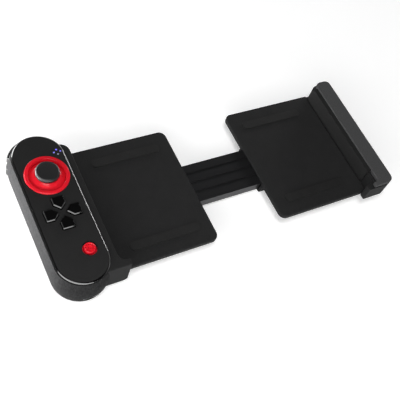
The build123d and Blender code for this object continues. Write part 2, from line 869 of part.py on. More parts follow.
def make_light_guide():
    bar = block(
        lamp_x - lamp_bar_width / 2, lamp_x + lamp_bar_width / 2, lamp_y - lamp_bar_length / 2,
        lamp_y + lamp_bar_length / 2, face_bottom - lamp_bar_thickness, face_bottom,
    )
    return add(
        bar & inside_the_lip(), [rod(x, y, face_bottom, grip_height, lamp_radius) for x, y in lamp_places()]
    )


def make_lamp_board():
    top = face_bottom - lamp_bar_thickness - lamp_board_gap
    side_x = lamp_bar_width / 2
    side_y = lamp_bar_length / 2 + 2 * lamp_post_radius
    board = block(
        lamp_x - side_x, lamp_x + side_x, lamp_y - side_y, lamp_y + side_y, top - lamp_board_thickness, top
    )
    lamps = [
        block(
            x - lamp_radius, x + lamp_radius, y - lamp_radius, y + lamp_radius,
            top, face_bottom - lamp_bar_thickness,
        )
        for x, y in lamp_places()
    ]
    return add(board, lamps) & inside_the_lip()


def screw(x, y, seat, tip, shank, head_radius, head_height):
    """Pan-head screw driven upwards: its head bears on seat from below."""
    head = rod(x, y, seat - head_height, seat, head_radius)
    recess = rod(x, y, seat - head_height - overrun, seat - head_height / 2, head_radius / 2)
    return head - recess + rod(x, y, seat, tip, shank)


def make_case_screws():
    tip = grip_height - screw_end_cover
    return Compound(
        [
            screw(x, y, screw_well_depth, tip, screw_shank_radius, screw_head_radius, screw_head_height)
            for x, y in screw_places
        ]
    )


def make_bumper():
    cap = shoulder_ring(
        shoulder_body_radius, shoulder_radius, shoulder_bevel, bumper_near, bumper_far,
        bumper_bottom, bumper_top,
    )
    flange = shoulder_ring(
        shoulder_flange_radius, shoulder_body_radius + static_gap, 0, bumper_near - bumper_flange,
        bumper_far + bumper_flange, bumper_bottom, bumper_top,
    )
    middle = (bumper_bottom + bumper_top) / 2
    stem = shoulder_block(
        bumper_stem_side - stem_width / 2, bumper_stem_side + stem_width / 2, stem_end,
        shoulder_body_radius, middle - stem_width / 2, middle + stem_width / 2,
    )
    return cap + flange + stem


def make_trigger():
    cap = shoulder_ring(
        shoulder_body_radius, shoulder_radius, shoulder_bevel, trigger_near, trigger_far,
        trigger_bottom, trigger_top,
    )
    flange = shoulder_ring(
        shoulder_flange_radius, shoulder_body_radius + static_gap, 0, trigger_near + bumper_flange,
        trigger_far + bumper_flange / 2, trigger_bottom, trigger_top,
    )
    middle = (trigger_bottom + trigger_top) / 2
    stem = shoulder_block(
        trigger_stem_side - stem_width / 2, trigger_stem_side + stem_width / 2, stem_end,
        shoulder_body_radius, middle - stem_width / 2, middle + stem_width / 2,
    )
    pin_x, pin_y = trigger_pin_place()
    boss = rod(pin_x, pin_y, trigger_bottom, trigger_top, trigger_boss_radius)
    bore = rod(pin_x, pin_y, 0, grip_height, trigger_pin_radius + pin_gap)
    return cap + flange + stem + boss - bore


def make_trigger_pin():
    pin_x, pin_y = trigger_pin_place()
    return rod(pin_x, pin_y, grip_floor / 2, trigger_top + pin_gap, trigger_pin_radius)


def make_side_board():
    return shoulder_block(
        side_board_near, side_board_far, side_board_start, side_board_start + side_board_thickness,
        side_board_bottom, side_board_top,
    )


def make_side_switches():
    out = side_board_start + side_board_thickness
    places = [
        (bumper_stem_side, (bumper_bottom + bumper_top) / 2),
        (trigger_stem_side, (trigger_bottom + trigger_top) / 2),
    ]
    return Compound(
        [
            shoulder_block(
                side - switch_width / 2, side + switch_width / 2, out, out + switch_depth,
                z - switch_height / 2, z + switch_height / 2,
            )
            for side, z in places
        ]
    )


def jaw_outline():
    """Plan of the jaw: a bar along the handle with a wing that turns round the bay's front corner."""
    return corners(
        [
            (jaw_root, jaw_front),
            (wing_end, jaw_front),
            (wing_end, wing_inner),
            (jaw_inner, wing_inner),
            (jaw_inner, jaw_back),
            (jaw_root, jaw_back),
        ],
        [0, wing_round, wing_round, bay_corner_round, jaw_corner_round, 0],
    )


def jaw_hollow_outline():
    """Plan of the space inside the jaw's bar."""
    inner = jaw_inner - shell_wall
    return corners(
        [
            (jaw_root, jaw_front + shell_wall),
            (inner, jaw_front + shell_wall),
            (inner, jaw_back - shell_wall),
            (jaw_root, jaw_back - shell_wall),
        ],
        [0, 0, jaw_corner_round - shell_wall, 0],
    )


def jaw_end_view():
    """The jaw's shape seen from the front, its lower outer corner rounded, run from front to back."""
    low, high = jaw_bottom, jaw_top_height
    points = [(jaw_root, 0, low), (wing_end, 0, low), (wing_end, 0, high), (jaw_root, 0, high)]
    face = make_face(Polyline(*points, close=True))
    heel = face.vertices().sort_by_distance((wing_end, 0, low))[0]
    return extrude(fillet(heel, wing_heel_round), -jaw_front, both=True)


def tray_outline(x0, x1, round_start, round_end):
    """Plan of a tray: a rectangle whose free corners are rounded."""
    return corners(
        [(x0, tray_front), (x1, tray_front), (x1, tray_back), (x0, tray_back)],
        [round_start, round_end, round_end, round_start],
    )


def make_near_shell(body):
    """Jaw and deck in one moulding, open below."""
    jaw = prism(jaw_outline(), jaw_bottom + skin, jaw_top_height) & jaw_end_view()
    top_edges = jaw.faces().sort_by(Axis.Z)[-1].edges()
    jaw = chamfer(top_edges, edge_break)
    jaw = jaw - prism(jaw_hollow_outline(), jaw_bottom, jaw_top_height - shell_wall)
    outline = tray_outline(jaw_inner - shell_wall / 2, tray_end, 0, tray_corner_round)
    deck = prism(outline, deck_bottom, deck_top)
    deck = chamfer(deck.faces().sort_by(Axis.Z)[-1].edges(), edge_break)
    shell = jaw + deck
    for y in jaw_screw_ys:
        boss = Pos(jaw_root, y, jaw_screw_height) * Rot(0, 90, 0) * extrude(
            Circle(jaw_boss_radius), jaw_inner - shell_wall / 2 - jaw_root
        )
        shell = shell + boss
    cover_space = round_the_capsule(barrel_section(0, -overrun, grip_height + overrun, heel_round))
    shell = shell - body - cover_space
    for y in jaw_screw_ys:
        shell = shell - Pos(jaw_root, y, jaw_screw_height) * Rot(0, 90, 0) * extrude(
            Circle(screw_shank_radius), jaw_inner - shell_wall - jaw_root
        )
    pocket = block(
        jaw_inner - jaw_facing, jaw_inner + overrun, facing_front, facing_back,
        jaw_facing_foot, jaw_facing_top,
    )
    return shell - pocket


def spine(x0, x1, channel_floor, closed_start, closed_end):
    """Keel under a tray: a chamfered trough whose channel holds the beam."""
    half = spine_half_width
    profile = make_face(
        Polyline(
            (0, bay_centre_y - half, tray_bottom),
            (0, bay_centre_y - half, spine_chamfer),
            (0, bay_centre_y - half + spine_chamfer, 0),
            (0, bay_centre_y + half - spine_chamfer, 0),
            (0, bay_centre_y + half, spine_chamfer),
            (0, bay_centre_y + half, tray_bottom),
            close=True,
        )
    )
    keel = Pos(x0, 0, 0) * extrude(profile, x1 - x0, dir=(1, 0, 0))
    channel = block(
        x0 + (shell_wall if closed_start else -overrun), x1 - (shell_wall if closed_end else -overrun),
        bay_centre_y - channel_half_width, bay_centre_y + channel_half_width, channel_floor, deck_bottom,
    )
    return keel, channel


def make_near_base(body):
    """Skin under the jaw and deck, with the keel that the beam is screwed into."""
    plate = prism(tray_outline(jaw_inner, tray_end, 0, tray_corner_round), tray_bottom, deck_bottom)
    plate = chamfer(plate.faces().sort_by(Axis.Z)[0].edges(), edge_break)
    plate = plate - prism(jaw_outline(), tray_bottom, deck_bottom)
    keel, channel = spine(jaw_inner, tray_end, beam_bottom, True, False)
    under_jaw = prism(jaw_outline(), jaw_bottom, jaw_bottom + skin) & jaw_end_view()
    base = plate + keel + under_jaw - channel
    for x in beam_screw_xs:
        for side in (-beam_screw_side, beam_screw_side):
            y = bay_centre_y + side
            shank_hole = beam_screw_radius + static_gap
            base = base - rod(x, y, -overrun, beam_bottom + overrun, shank_hole)
            base = base - rod(
                x, y, -overrun, beam_screw_head_height, beam_screw_head_radius + static_gap
            )
    cover_space = round_the_capsule(barrel_section(0, -overrun, grip_height, heel_round))
    return base - body - cover_space


def jaw_screw_seat():
    """Where the jaw screws' heads bear on the inside of the handle's side wall."""
    return flank_reach(jaw_screw_height + screw_head_radius, grip_wall)


def make_jaw_screws():
    """Three screws through the handle's side wall into the jaw, heads inside the handle."""
    screws = []
    seat = jaw_screw_seat()
    for y in jaw_screw_ys:
        shank = Pos(seat, y, jaw_screw_height) * Rot(0, 90, 0) * extrude(
            Circle(screw_shank_radius), jaw_inner - shell_wall - seat
        )
        head = Pos(seat - jaw_screw_head_reach, y, jaw_screw_height) * Rot(0, 90, 0) * extrude(
            Circle(screw_head_radius), jaw_screw_head_reach
        )
        screws.append(head + shank)
    return Compound(screws)


def make_slide_beam():
    """Box-section beam with grooves along its top and open ends for the springs."""
    beam = block(
        beam_start, beam_end, bay_centre_y - beam_half_width, bay_centre_y + beam_half_width,
        beam_bottom, beam_top,
    )
    inner = beam_half_width - beam_wall
    beam = beam - block(
        beam_start + beam_wall, beam_end + overrun, bay_centre_y - inner, bay_centre_y + inner,
        beam_bottom + beam_wall, beam_top - beam_wall,
    )
    for side in (-beam_rib_inset, 0, beam_rib_inset):
        y = bay_centre_y + side
        beam = beam - block(
            beam_start - overrun, beam_end + overrun, y - beam_groove_width / 2, y + beam_groove_width / 2,
            beam_top - beam_groove_depth, beam_top + overrun,
        )
    for x in beam_screw_xs:
        for side in (-beam_screw_side, beam_screw_side):
            beam = beam - rod(
                x, bay_centre_y + side, beam_bottom - overrun, beam_bottom + beam_wall + overrun,
                beam_screw_radius,
            )
    for side in (-spring_side, spring_side):
        y = bay_centre_y + side
        beam = beam - rod(near_pin_x, y, beam_bottom - overrun, beam_top + overrun, spring_pin_radius)
    return beam


def make_beam_screws():
    tip = beam_bottom + beam_wall
    return Compound(
        [
            screw(
                x, bay_centre_y + side, beam_screw_head_height, tip,
                beam_screw_radius, beam_screw_head_radius,
                beam_screw_head_height / 2,
            )
            for x in beam_screw_xs
            for side in (-beam_screw_side, beam_screw_side)
        ]
    )


def make_spring_pins(x, z0, z1):
    return Compound(
        [rod(x, bay_centre_y + side, z0, z1, spring_pin_radius) for side in (-spring_side, spring_side)]
    )


def make_springs():
    """Two extension springs inside the beam, each a coil body with a hook round its pin at both ends."""
    z = (beam_bottom + beam_top) / 2
    hook_radius = spring_pin_radius + spring_hook_gap + spring_wire / 2
    springs = []
    for side in (-spring_side, spring_side):
        y = bay_centre_y + side
        start = near_pin_x + spring_lead
        length = far_pin_x - near_pin_x - 2 * spring_lead
        tube = Circle(spring_radius) - Circle(spring_bore)
        coil = Pos(start, y, z) * Rot(0, 90, 0) * extrude(tube, length)
        spring = coil
        for pin_x, way in ((near_pin_x, 1), (far_pin_x, -1)):
            hook = Pos(pin_x, y, z) * Torus(hook_radius, spring_wire / 2)
            reach = spring_lead - hook_radius + spring_wire
            tail_start = pin_x + way * hook_radius
            tail = Pos(tail_start, y, z) * Rot(0, 90 * way, 0) * extrude(Circle(spring_wire / 2), reach)
            plug = Pos(pin_x + way * spring_lead, y, z) * Rot(0, 90 * way, 0) * extrude(
                Circle(spring_radius), spring_wire
            )
            spring = spring + hook + tail + plug
        springs.append(spring)
    return Compound(springs)


def clamp_outline(inner_x, wing_x, bay_y, bay_round):
    """Plan of the clamp: a bar across the far end with a wing round the bay's front corner."""
    return corners(
        [
            (wing_x, clamp_front),
            (clamp_outer, clamp_front),
            (clamp_outer, clamp_back),
            (inner_x, clamp_back),
            (inner_x, bay_y),
            (wing_x, bay_y),
        ],
        [
            clamp_wing_round, clamp_front_round, clamp_back_round, clamp_end_round, bay_round,
            clamp_inner_round,
        ],
    )


def clamp_views():
    """The clamp's shapes seen from the front and from the side: its lower outer edges are bevelled and its
    wing's lower corner is rounded."""
    low, high = tray_bottom, clamp_seam_height
    points = [
        (clamp_wing_end, 0, low), (clamp_outer - clamp_foot, 0, low), (clamp_outer, 0, low + clamp_foot),
        (clamp_outer, 0, high), (clamp_wing_end, 0, high),
    ]
    face = make_face(Polyline(*points, close=True))
    heel = face.vertices().sort_by_distance((clamp_wing_end, 0, low))[0]
    end_view = extrude(fillet(heel, clamp_heel_round), -clamp_front, both=True)
    points = [
        (0, clamp_front + clamp_foot, low), (0, clamp_back - clamp_foot, low),
        (0, clamp_back, low + clamp_foot), (0, clamp_back, high), (0, clamp_front, high),
        (0, clamp_front, low + clamp_foot),
    ]
    side_view = extrude(make_face(Polyline(*points, close=True)), clamp_outer, both=True)
    return end_view & side_view


def clamp_bar_outline(inner_x, inset):
    """Plan of the clamp's bar without its wing, moved in by inset."""
    return corners(
        [
            (inner_x + inset, clamp_front + inset),
            (clamp_outer - inset, clamp_front + inset),
            (clamp_outer - inset, clamp_back - inset),
            (inner_x + inset, clamp_back - inset),
        ],
        [0, clamp_front_round - inset, clamp_back_round - inset, clamp_end_round - inset],
    )


def clamp_wall_outline():
    return clamp_outline(clamp_inner, clamp_wing_end, clamp_bay_front, bay_corner_round)


def clamp_cover_outline():
    return clamp_outline(
        clamp_cover_inner, clamp_cover_wing_end, clamp_cover_bay_front, clamp_cover_bay_round
    )


def make_clamp_base():
    """Far tray's skin, keel and clamp walls in one moulding."""
    far_end = clamp_inner + clamp_end_round
    plate = prism(tray_outline(clamp_tray_start, far_end, tray_corner_round, 0), tray_bottom, deck_bottom)
    plate = chamfer(plate.faces().sort_by(Axis.Z)[0].edges(), edge_break)
    floor = prism(clamp_bar_outline(clamp_inner, 0), tray_bottom, deck_bottom)
    walls = prism(clamp_wall_outline(), tray_bottom, clamp_groove_bottom)
    lip = prism(clamp_bar_outline(clamp_inner, clamp_groove_depth), deck_bottom, clamp_seam_height)
    hollow = clamp_bar_outline(clamp_inner, shell_wall)
    body = (walls + lip + floor) & clamp_views()
    body = body - prism(hollow, deck_bottom, clamp_seam_height + overrun)
    keel_end = clamp_outer - shell_wall
    keel, channel = spine(clamp_tray_start, keel_end, keel_floor, False, True)
    base = plate + keel + body - channel
    for y in clamp_screw_ys:
        base = base + rod(clamp_screw_x, y, deck_bottom, clamp_seam_height - overrun, clamp_post_radius)
        shank_hole = screw_shank_radius + static_gap
        base = base - rod(clamp_screw_x, y, tray_bottom - overrun, clamp_seam_height, shank_hole)
        base = base - rod(clamp_screw_x, y, tray_bottom - overrun, deck_bottom, screw_well_radius)
    return base


def make_clamp_deck():
    deck = prism(tray_outline(clamp_tray_start, clamp_inner, tray_corner_round, 0), deck_bottom, deck_top)
    deck = chamfer(deck.faces().sort_by(Axis.Z)[-1].edges(), edge_break)
    return deck - prism(clamp_wall_outline(), deck_bottom, deck_top)


def make_clamp_cover():
    cover = prism(clamp_cover_outline(), clamp_seam_height + clamp_seam, clamp_top_height)
    cover = chamfer(cover.faces().sort_by(Axis.Z)[-1].edges(), edge_break)
    hollow = clamp_bar_outline(clamp_cover_inner, shell_wall)
    cover = cover - prism(hollow, clamp_seam_height, clamp_top_height - clamp_cover_skin)
    post_foot = clamp_seam_height - overrun
    tip = clamp_top_height - clamp_cover_skin / 2
    for y in clamp_screw_ys:
        post_top = clamp_top_height - clamp_cover_skin
        cover = cover + rod(clamp_screw_x, y, post_foot, post_top, clamp_post_radius)
        cover = cover - rod(clamp_screw_x, y, post_foot - overrun, tip, screw_shank_radius)
    return cover


def make_clamp_screws():
    tip = clamp_top_height - clamp_cover_skin / 2
    return Compound(
        [
            screw(
                clamp_screw_x, y, deck_bottom, tip, screw_shank_radius, screw_head_radius, screw_head_height
            )
            for y in clamp_screw_ys
        ]
    )


def make_clamp_facing():
    """Rubber facing on the clamp's inner wall, folded back over the wall's top."""
    face = block(clamp_inner - facing, clamp_inner, facing_front, facing_back, facing_foot, facing_top)
    fold = block(
        clamp_inner, clamp_cover_inner, facing_front, facing_back, clamp_seam_height, facing_top
    )
    return face + fold


def make_jaw_facing():
    return block(
        jaw_inner - jaw_facing, jaw_inner, facing_front, facing_back, jaw_facing_foot, jaw_facing_top
    )


def make_strips(x0, x1):
    strips = []
    for y in strip_ys:
        low = y - strip_width / 2
        strip = block(x0, x1, low, low + strip_width, deck_top, deck_top + strip_thickness)
        strips.append(fillet(strip.edges().filter_by(Axis.Z), strip_width / 2.5))
    return Compound(strips)


def build():
    body = grip_body()
    parts = {
        "grip_tub": make_grip_tub(body),
        "face_cover": make_face_cover(),
        "stick_bezel": make_stick_bezel(),
        "stick_dome": make_stick_dome(),
        "thumb_cap": make_thumb_cap(),
        "stick_shaft": make_stick_shaft(),
        "stick_frame": make_stick_frame(),
        "gimbal_cradle": make_gimbal_cradle(),
        "gimbal_block": make_gimbal_block(),
        "stick_board": make_stick_board(),
        "home_button": make_home_button(),
        "key_sheet": make_key_sheet(),
        "main_board": make_main_board(),
        "control_chip": make_control_chip(),
        "battery_cell": make_cell(),
        "charge_board": make_charge_board(),
        "charge_socket": make_charge_socket(),
        "light_guide": make_light_guide(),
        "lamp_board": make_lamp_board(),
        "case_screws": make_case_screws(),
        "shoulder_bumper": make_bumper(),
        "shoulder_trigger": make_trigger(),
        "trigger_pin": make_trigger_pin(),
        "side_board": make_side_board(),
        "side_switches": make_side_switches(),
        "near_shell": make_near_shell(body),
        "near_base": make_near_base(body),
        "jaw_screws": make_jaw_screws(),
        "jaw_facing": make_jaw_facing(),
        "near_strips": make_strips(near_strip_start, near_strip_end),
        "slide_beam": make_slide_beam(),
        "beam_screws": make_beam_screws(),
        "near_spring_pins": make_spring_pins(near_pin_x, beam_bottom, beam_top),
        "far_spring_pins": make_spring_pins(far_pin_x, keel_floor, beam_top),
        "return_springs": make_springs(),
        "clamp_base": make_clamp_base(),
        "clamp_deck": make_clamp_deck(),
        "clamp_cover": make_clamp_cover(),
        "clamp_screws": make_clamp_screws(),
        "clamp_facing": make_clamp_facing(),
        "far_strips": make_strips(far_strip_start, far_strip_end),
    }
    for name, turn in key_turns.items():
        parts["key_" + name] = make_key(turn)
    return parts


os.makedirs("parts", exist_ok=True)
for node, solid in build().items():
    export_step(solid, f"parts/{node}.step")
    print(node, round(solid.volume))
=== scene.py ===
import bpy
import bmesh
import json
import math
import numpy as np
from mathutils import Matrix, Vector

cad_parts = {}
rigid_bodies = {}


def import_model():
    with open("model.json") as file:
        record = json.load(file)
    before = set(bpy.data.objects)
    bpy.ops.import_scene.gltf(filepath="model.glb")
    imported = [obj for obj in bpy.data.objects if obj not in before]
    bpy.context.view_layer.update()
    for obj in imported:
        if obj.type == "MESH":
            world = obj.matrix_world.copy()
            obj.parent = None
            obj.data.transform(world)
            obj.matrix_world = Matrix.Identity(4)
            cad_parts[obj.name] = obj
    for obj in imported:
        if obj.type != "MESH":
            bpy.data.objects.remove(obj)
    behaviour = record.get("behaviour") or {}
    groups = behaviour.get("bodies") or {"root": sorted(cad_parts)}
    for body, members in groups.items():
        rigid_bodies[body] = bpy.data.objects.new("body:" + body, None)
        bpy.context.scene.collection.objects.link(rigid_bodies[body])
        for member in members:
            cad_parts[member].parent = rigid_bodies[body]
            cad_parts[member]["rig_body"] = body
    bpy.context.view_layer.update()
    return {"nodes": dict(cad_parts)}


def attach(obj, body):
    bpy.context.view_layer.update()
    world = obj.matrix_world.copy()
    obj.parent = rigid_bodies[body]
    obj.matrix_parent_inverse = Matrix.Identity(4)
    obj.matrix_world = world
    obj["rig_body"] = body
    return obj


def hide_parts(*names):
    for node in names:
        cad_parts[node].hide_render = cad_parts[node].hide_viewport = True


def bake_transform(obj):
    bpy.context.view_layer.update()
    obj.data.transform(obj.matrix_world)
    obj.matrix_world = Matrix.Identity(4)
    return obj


# Looks for a one-sided telescopic game controller: capsule handle, sliding bracket, far clamp.
# Everything is in metres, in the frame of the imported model.

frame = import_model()
nodes = frame["nodes"]
mm = 0.001
faceTop = 19.8  # height of the face, in mm as all lengths in the dictionaries below
faceUnder = 18.2  # underside of the face cover, where the keys' flanges stop
flangeFoot = 17.2  # underside of the keys' flanges at rest
print("frame loaded:", len(nodes), "nodes")


# Shader groups

def newGroup(name, inputs, outputs):
    tree = bpy.data.node_groups.new(name, "ShaderNodeTree")
    for label, kind, default in inputs:
        socket = tree.interface.new_socket(label, in_out="INPUT", socket_type=kind)
        if default is not None:
            socket.default_value = default
    for label, kind in outputs:
        tree.interface.new_socket(label, in_out="OUTPUT", socket_type=kind)
    return tree, tree.nodes.new("NodeGroupInput"), tree.nodes.new("NodeGroupOutput")


def mathNode(tree, kind, a, b, clamp=False):
    node = tree.nodes.new("ShaderNodeMath")
    node.operation = kind
    node.use_clamp = clamp
    for slot, value in zip(node.inputs, (a, b)):
        if isinstance(value, (int, float)):
            slot.default_value = value
        else:
            tree.links.new(value, slot)
    return node.outputs[0]


def noiseNode(tree, vector, scale, detail, rough=0.5):
    node = tree.nodes.new("ShaderNodeTexNoise")
    node.inputs["Detail"].default_value = detail
    node.inputs["Roughness"].default_value = rough
    tree.links.new(vector, node.inputs["Vector"])
    if isinstance(scale, (int, float)):
        node.inputs["Scale"].default_value = scale
    else:
        tree.links.new(scale, node.inputs["Scale"])
    return node.outputs["Fac"]


# Mixes two colours; a Mix node takes its factor at input 0 and its colours at inputs 6 and 7
def mixColour(tree, factor, low, high):
    node = tree.nodes.new("ShaderNodeMix")
    node.data_type = "RGBA"
    for slot, value in ((node.inputs[0], factor), (node.inputs[6], low), (node.inputs[7], high)):
        if isinstance(value, (int, float, tuple)):
            slot.default_value = value
        else:
            tree.links.new(value, slot)
    return node.outputs[2]


grainShape = {
    "detail": 3.0, "rough": 0.6, "cellScale": 0.8, "cellHeight": 0.5, "slowScale": 60.0, "slowDetail": 4.0,
    "speckGain": 4.0,
}


# Spark-eroded mould texture: height = noise + cellHeight x the distance in fine cells,
# tint = 1 + mottle x speckGain x (noise - 0.5), and roughness wanders with a slow noise
def makeMouldGrain():
    tree, into, out = newGroup(
        "mouldGrain",
        [("Colour", "NodeSocketColor", (0.03, 0.03, 0.03, 1)), ("Grain scale", "NodeSocketFloat", 2600.0),
         ("Mottle", "NodeSocketFloat", 0.15), ("Roughness", "NodeSocketFloat", 0.5),
         ("Roughness spread", "NodeSocketFloat", 0.08)],
        [("Colour", "NodeSocketColor"), ("Roughness", "NodeSocketFloat"), ("Height", "NodeSocketFloat")],
    )
    place = tree.nodes.new("ShaderNodeTexCoord").outputs["Object"]
    fine = noiseNode(tree, place, into.outputs["Grain scale"], grainShape["detail"], grainShape["rough"])
    cells = tree.nodes.new("ShaderNodeTexVoronoi")
    tree.links.new(place, cells.inputs["Vector"])
    cellScale = mathNode(tree, "MULTIPLY", into.outputs["Grain scale"], grainShape["cellScale"])
    tree.links.new(cellScale, cells.inputs["Scale"])
    pits = mathNode(tree, "MULTIPLY", cells.outputs["Distance"], grainShape["cellHeight"])
    height = mathNode(tree, "ADD", fine, pits)
    slow = noiseNode(tree, place, grainShape["slowScale"], grainShape["slowDetail"])
    speck = mathNode(tree, "SUBTRACT", fine, 0.5)
    speck = mathNode(tree, "MULTIPLY", speck, grainShape["speckGain"])
    gain = mathNode(tree, "ADD", 1.0, mathNode(tree, "MULTIPLY", into.outputs["Mottle"], speck))
    tint = tree.nodes.new("ShaderNodeMix")
    tint.data_type = "RGBA"
    tint.blend_type = "MULTIPLY"
    tint.inputs[0].default_value = 1.0
    tree.links.new(into.outputs["Colour"], tint.inputs[6])
    tree.links.new(gain, tint.inputs[7])
    rough = mathNode(
        tree, "ADD", into.outputs["Roughness"],
        mathNode(tree, "MULTIPLY", into.outputs["Roughness spread"], mathNode(tree, "SUBTRACT", slow, 0.5)),
        True,
    )
    tree.links.new(tint.outputs[2], out.inputs["Colour"])
    tree.links.new(rough, out.inputs["Roughness"])
    tree.links.new(height, out.inputs["Height"])
    return tree


dustShape = {
    "filmScale": 140.0, "filmFrom": 0.35, "filmGain": 0.5, "fleckScale": 5200.0, "fleckFrom": 0.62,
    "fleckGain": 4.0, "colour": (0.42, 0.41, 0.39, 1),
}


# Dust settles where the surface looks up: mask = amount x (film + flecks) x the normal's height
def makeLightDust():
    tree, into, out = newGroup(
        "lightDust",
        [("Colour", "NodeSocketColor", (0.03, 0.03, 0.03, 1)), ("Amount", "NodeSocketFloat", 0.1)],
        [("Colour", "NodeSocketColor")],
    )
    coords = tree.nodes.new("ShaderNodeTexCoord")
    split = tree.nodes.new("ShaderNodeSeparateXYZ")
    tree.links.new(coords.outputs["Normal"], split.inputs[0])
    up = mathNode(tree, "MAXIMUM", split.outputs["Z"], 0.0)
    broad = noiseNode(tree, coords.outputs["Object"], dustShape["filmScale"], 5.0, 0.65)
    flecks = noiseNode(tree, coords.outputs["Object"], dustShape["fleckScale"], 1.0)
    above = mathNode(tree, "SUBTRACT", flecks, dustShape["fleckFrom"], True)
    spots = mathNode(tree, "MULTIPLY", above, dustShape["fleckGain"], True)
    above = mathNode(tree, "SUBTRACT", broad, dustShape["filmFrom"], True)
    film = mathNode(tree, "MULTIPLY", above, dustShape["filmGain"])
    mask = mathNode(tree, "MULTIPLY", mathNode(tree, "ADD", film, spots, True), up)
    mask = mathNode(tree, "MULTIPLY", mask, into.outputs["Amount"], True)
    tree.links.new(mixColour(tree, mask, into.outputs["Colour"], dustShape["colour"]), out.inputs["Colour"])
    return tree


# Hairlines: one noise whose coordinates are stretched by as many waves per metre along x, y and z
def makeHairlines():
    tree, into, out = newGroup(
        "hairlines",
        [("Stretch", "NodeSocketVector", (1.0, 1.0, 1.0))],
        [("Lines", "NodeSocketFloat")],
    )
    coords = tree.nodes.new("ShaderNodeTexCoord")
    mapping = tree.nodes.new("ShaderNodeMapping")
    tree.links.new(coords.outputs["Object"], mapping.inputs["Vector"])
    tree.links.new(into.outputs["Stretch"], mapping.inputs["Scale"])
    lines = noiseNode(tree, mapping.outputs["Vector"], 1.0, 2.0, 0.7)
    tree.links.new(lines, out.inputs["Lines"])
    return tree


mouldGrain = makeMouldGrain()
lightDust = makeLightDust()
hairlines = makeHairlines()


def newMaterial(name):
    material = bpy.data.materials.new(name)
    material.use_nodes = True
    tree = material.node_tree
    return material, tree, tree.nodes["Principled BSDF"]


def useGroup(tree, group, **values):
    node = tree.nodes.new("ShaderNodeGroup")
    node.node_tree = group
    for label, value in values.items():
        node.inputs[label.replace("_", " ")].default_value = value
    return node


def addBump(tree, shader, height, strength, distance):
    bump = tree.nodes.new("ShaderNodeBump")
    bump.inputs["Strength"].default_value = strength
    bump.inputs["Distance"].default_value = distance
    tree.links.new(height, bump.inputs["Height"])
    tree.links.new(bump.outputs["Normal"], shader.inputs["Normal"])


# Depths of the bumps in metres, and how far hairlines darken and roughen a metal
surfaceLook = {
    "grainDepth": 0.00003, "lineDepth": 0.00001, "lineBump": 0.25, "lineDark": 0.72, "lineRough": 0.15,
    "coatRoughness": 0.06,
}


# Moulded plastic: grain gives colour and roughness, dust lies on top, the grain's height is the bump, and the
# coat is even; streaks are how densely the tint varies along x, y and z, in waves per metre
def mouldedPlastic(
    name, colour, roughness, spread, grain, mottle, bump, dust, coat=0.0, specular=0.4, streaks=None
):
    material, tree, shader = newMaterial(name)
    texture = useGroup(
        tree, mouldGrain, Colour=(*colour, 1), Grain_scale=grain, Mottle=mottle, Roughness=roughness,
        Roughness_spread=spread,
    )
    if streaks:
        lines = useGroup(tree, hairlines, Stretch=streaks)
        bright = tuple(2 * c for c in colour)
        tint = mixColour(tree, lines.outputs["Lines"], (0, 0, 0, 1), (*bright, 1))
        tree.links.new(tint, texture.inputs["Colour"])
    film = useGroup(tree, lightDust, Amount=dust)
    tree.links.new(texture.outputs["Colour"], film.inputs["Colour"])
    tree.links.new(film.outputs["Colour"], shader.inputs["Base Color"])
    tree.links.new(texture.outputs["Roughness"], shader.inputs["Roughness"])
    addBump(tree, shader, texture.outputs["Height"], bump, surfaceLook["grainDepth"])
    shader.inputs["Coat Weight"].default_value = coat
    shader.inputs["Coat Roughness"].default_value = surfaceLook["coatRoughness"]
    shader.inputs["Specular IOR Level"].default_value = specular
    return material


# Drawn or rolled metal: hairlines change its tint, its roughness and its height
def drawnMetal(name, colour, roughness, stretch):
    material, tree, shader = newMaterial(name)
    lines = useGroup(tree, hairlines, Stretch=stretch)
    dark = tuple(c * surfaceLook["lineDark"] for c in colour)
    tint = mixColour(tree, lines.outputs["Lines"], (*dark, 1), (*colour, 1))
    tree.links.new(tint, shader.inputs["Base Color"])
    spread = mathNode(tree, "MULTIPLY", lines.outputs["Lines"], surfaceLook["lineRough"])
    tree.links.new(mathNode(tree, "ADD", roughness, spread), shader.inputs["Roughness"])
    shader.inputs["Metallic"].default_value = 1.0
    addBump(tree, shader, lines.outputs["Lines"], surfaceLook["lineBump"], surfaceLook["lineDepth"])
    return material


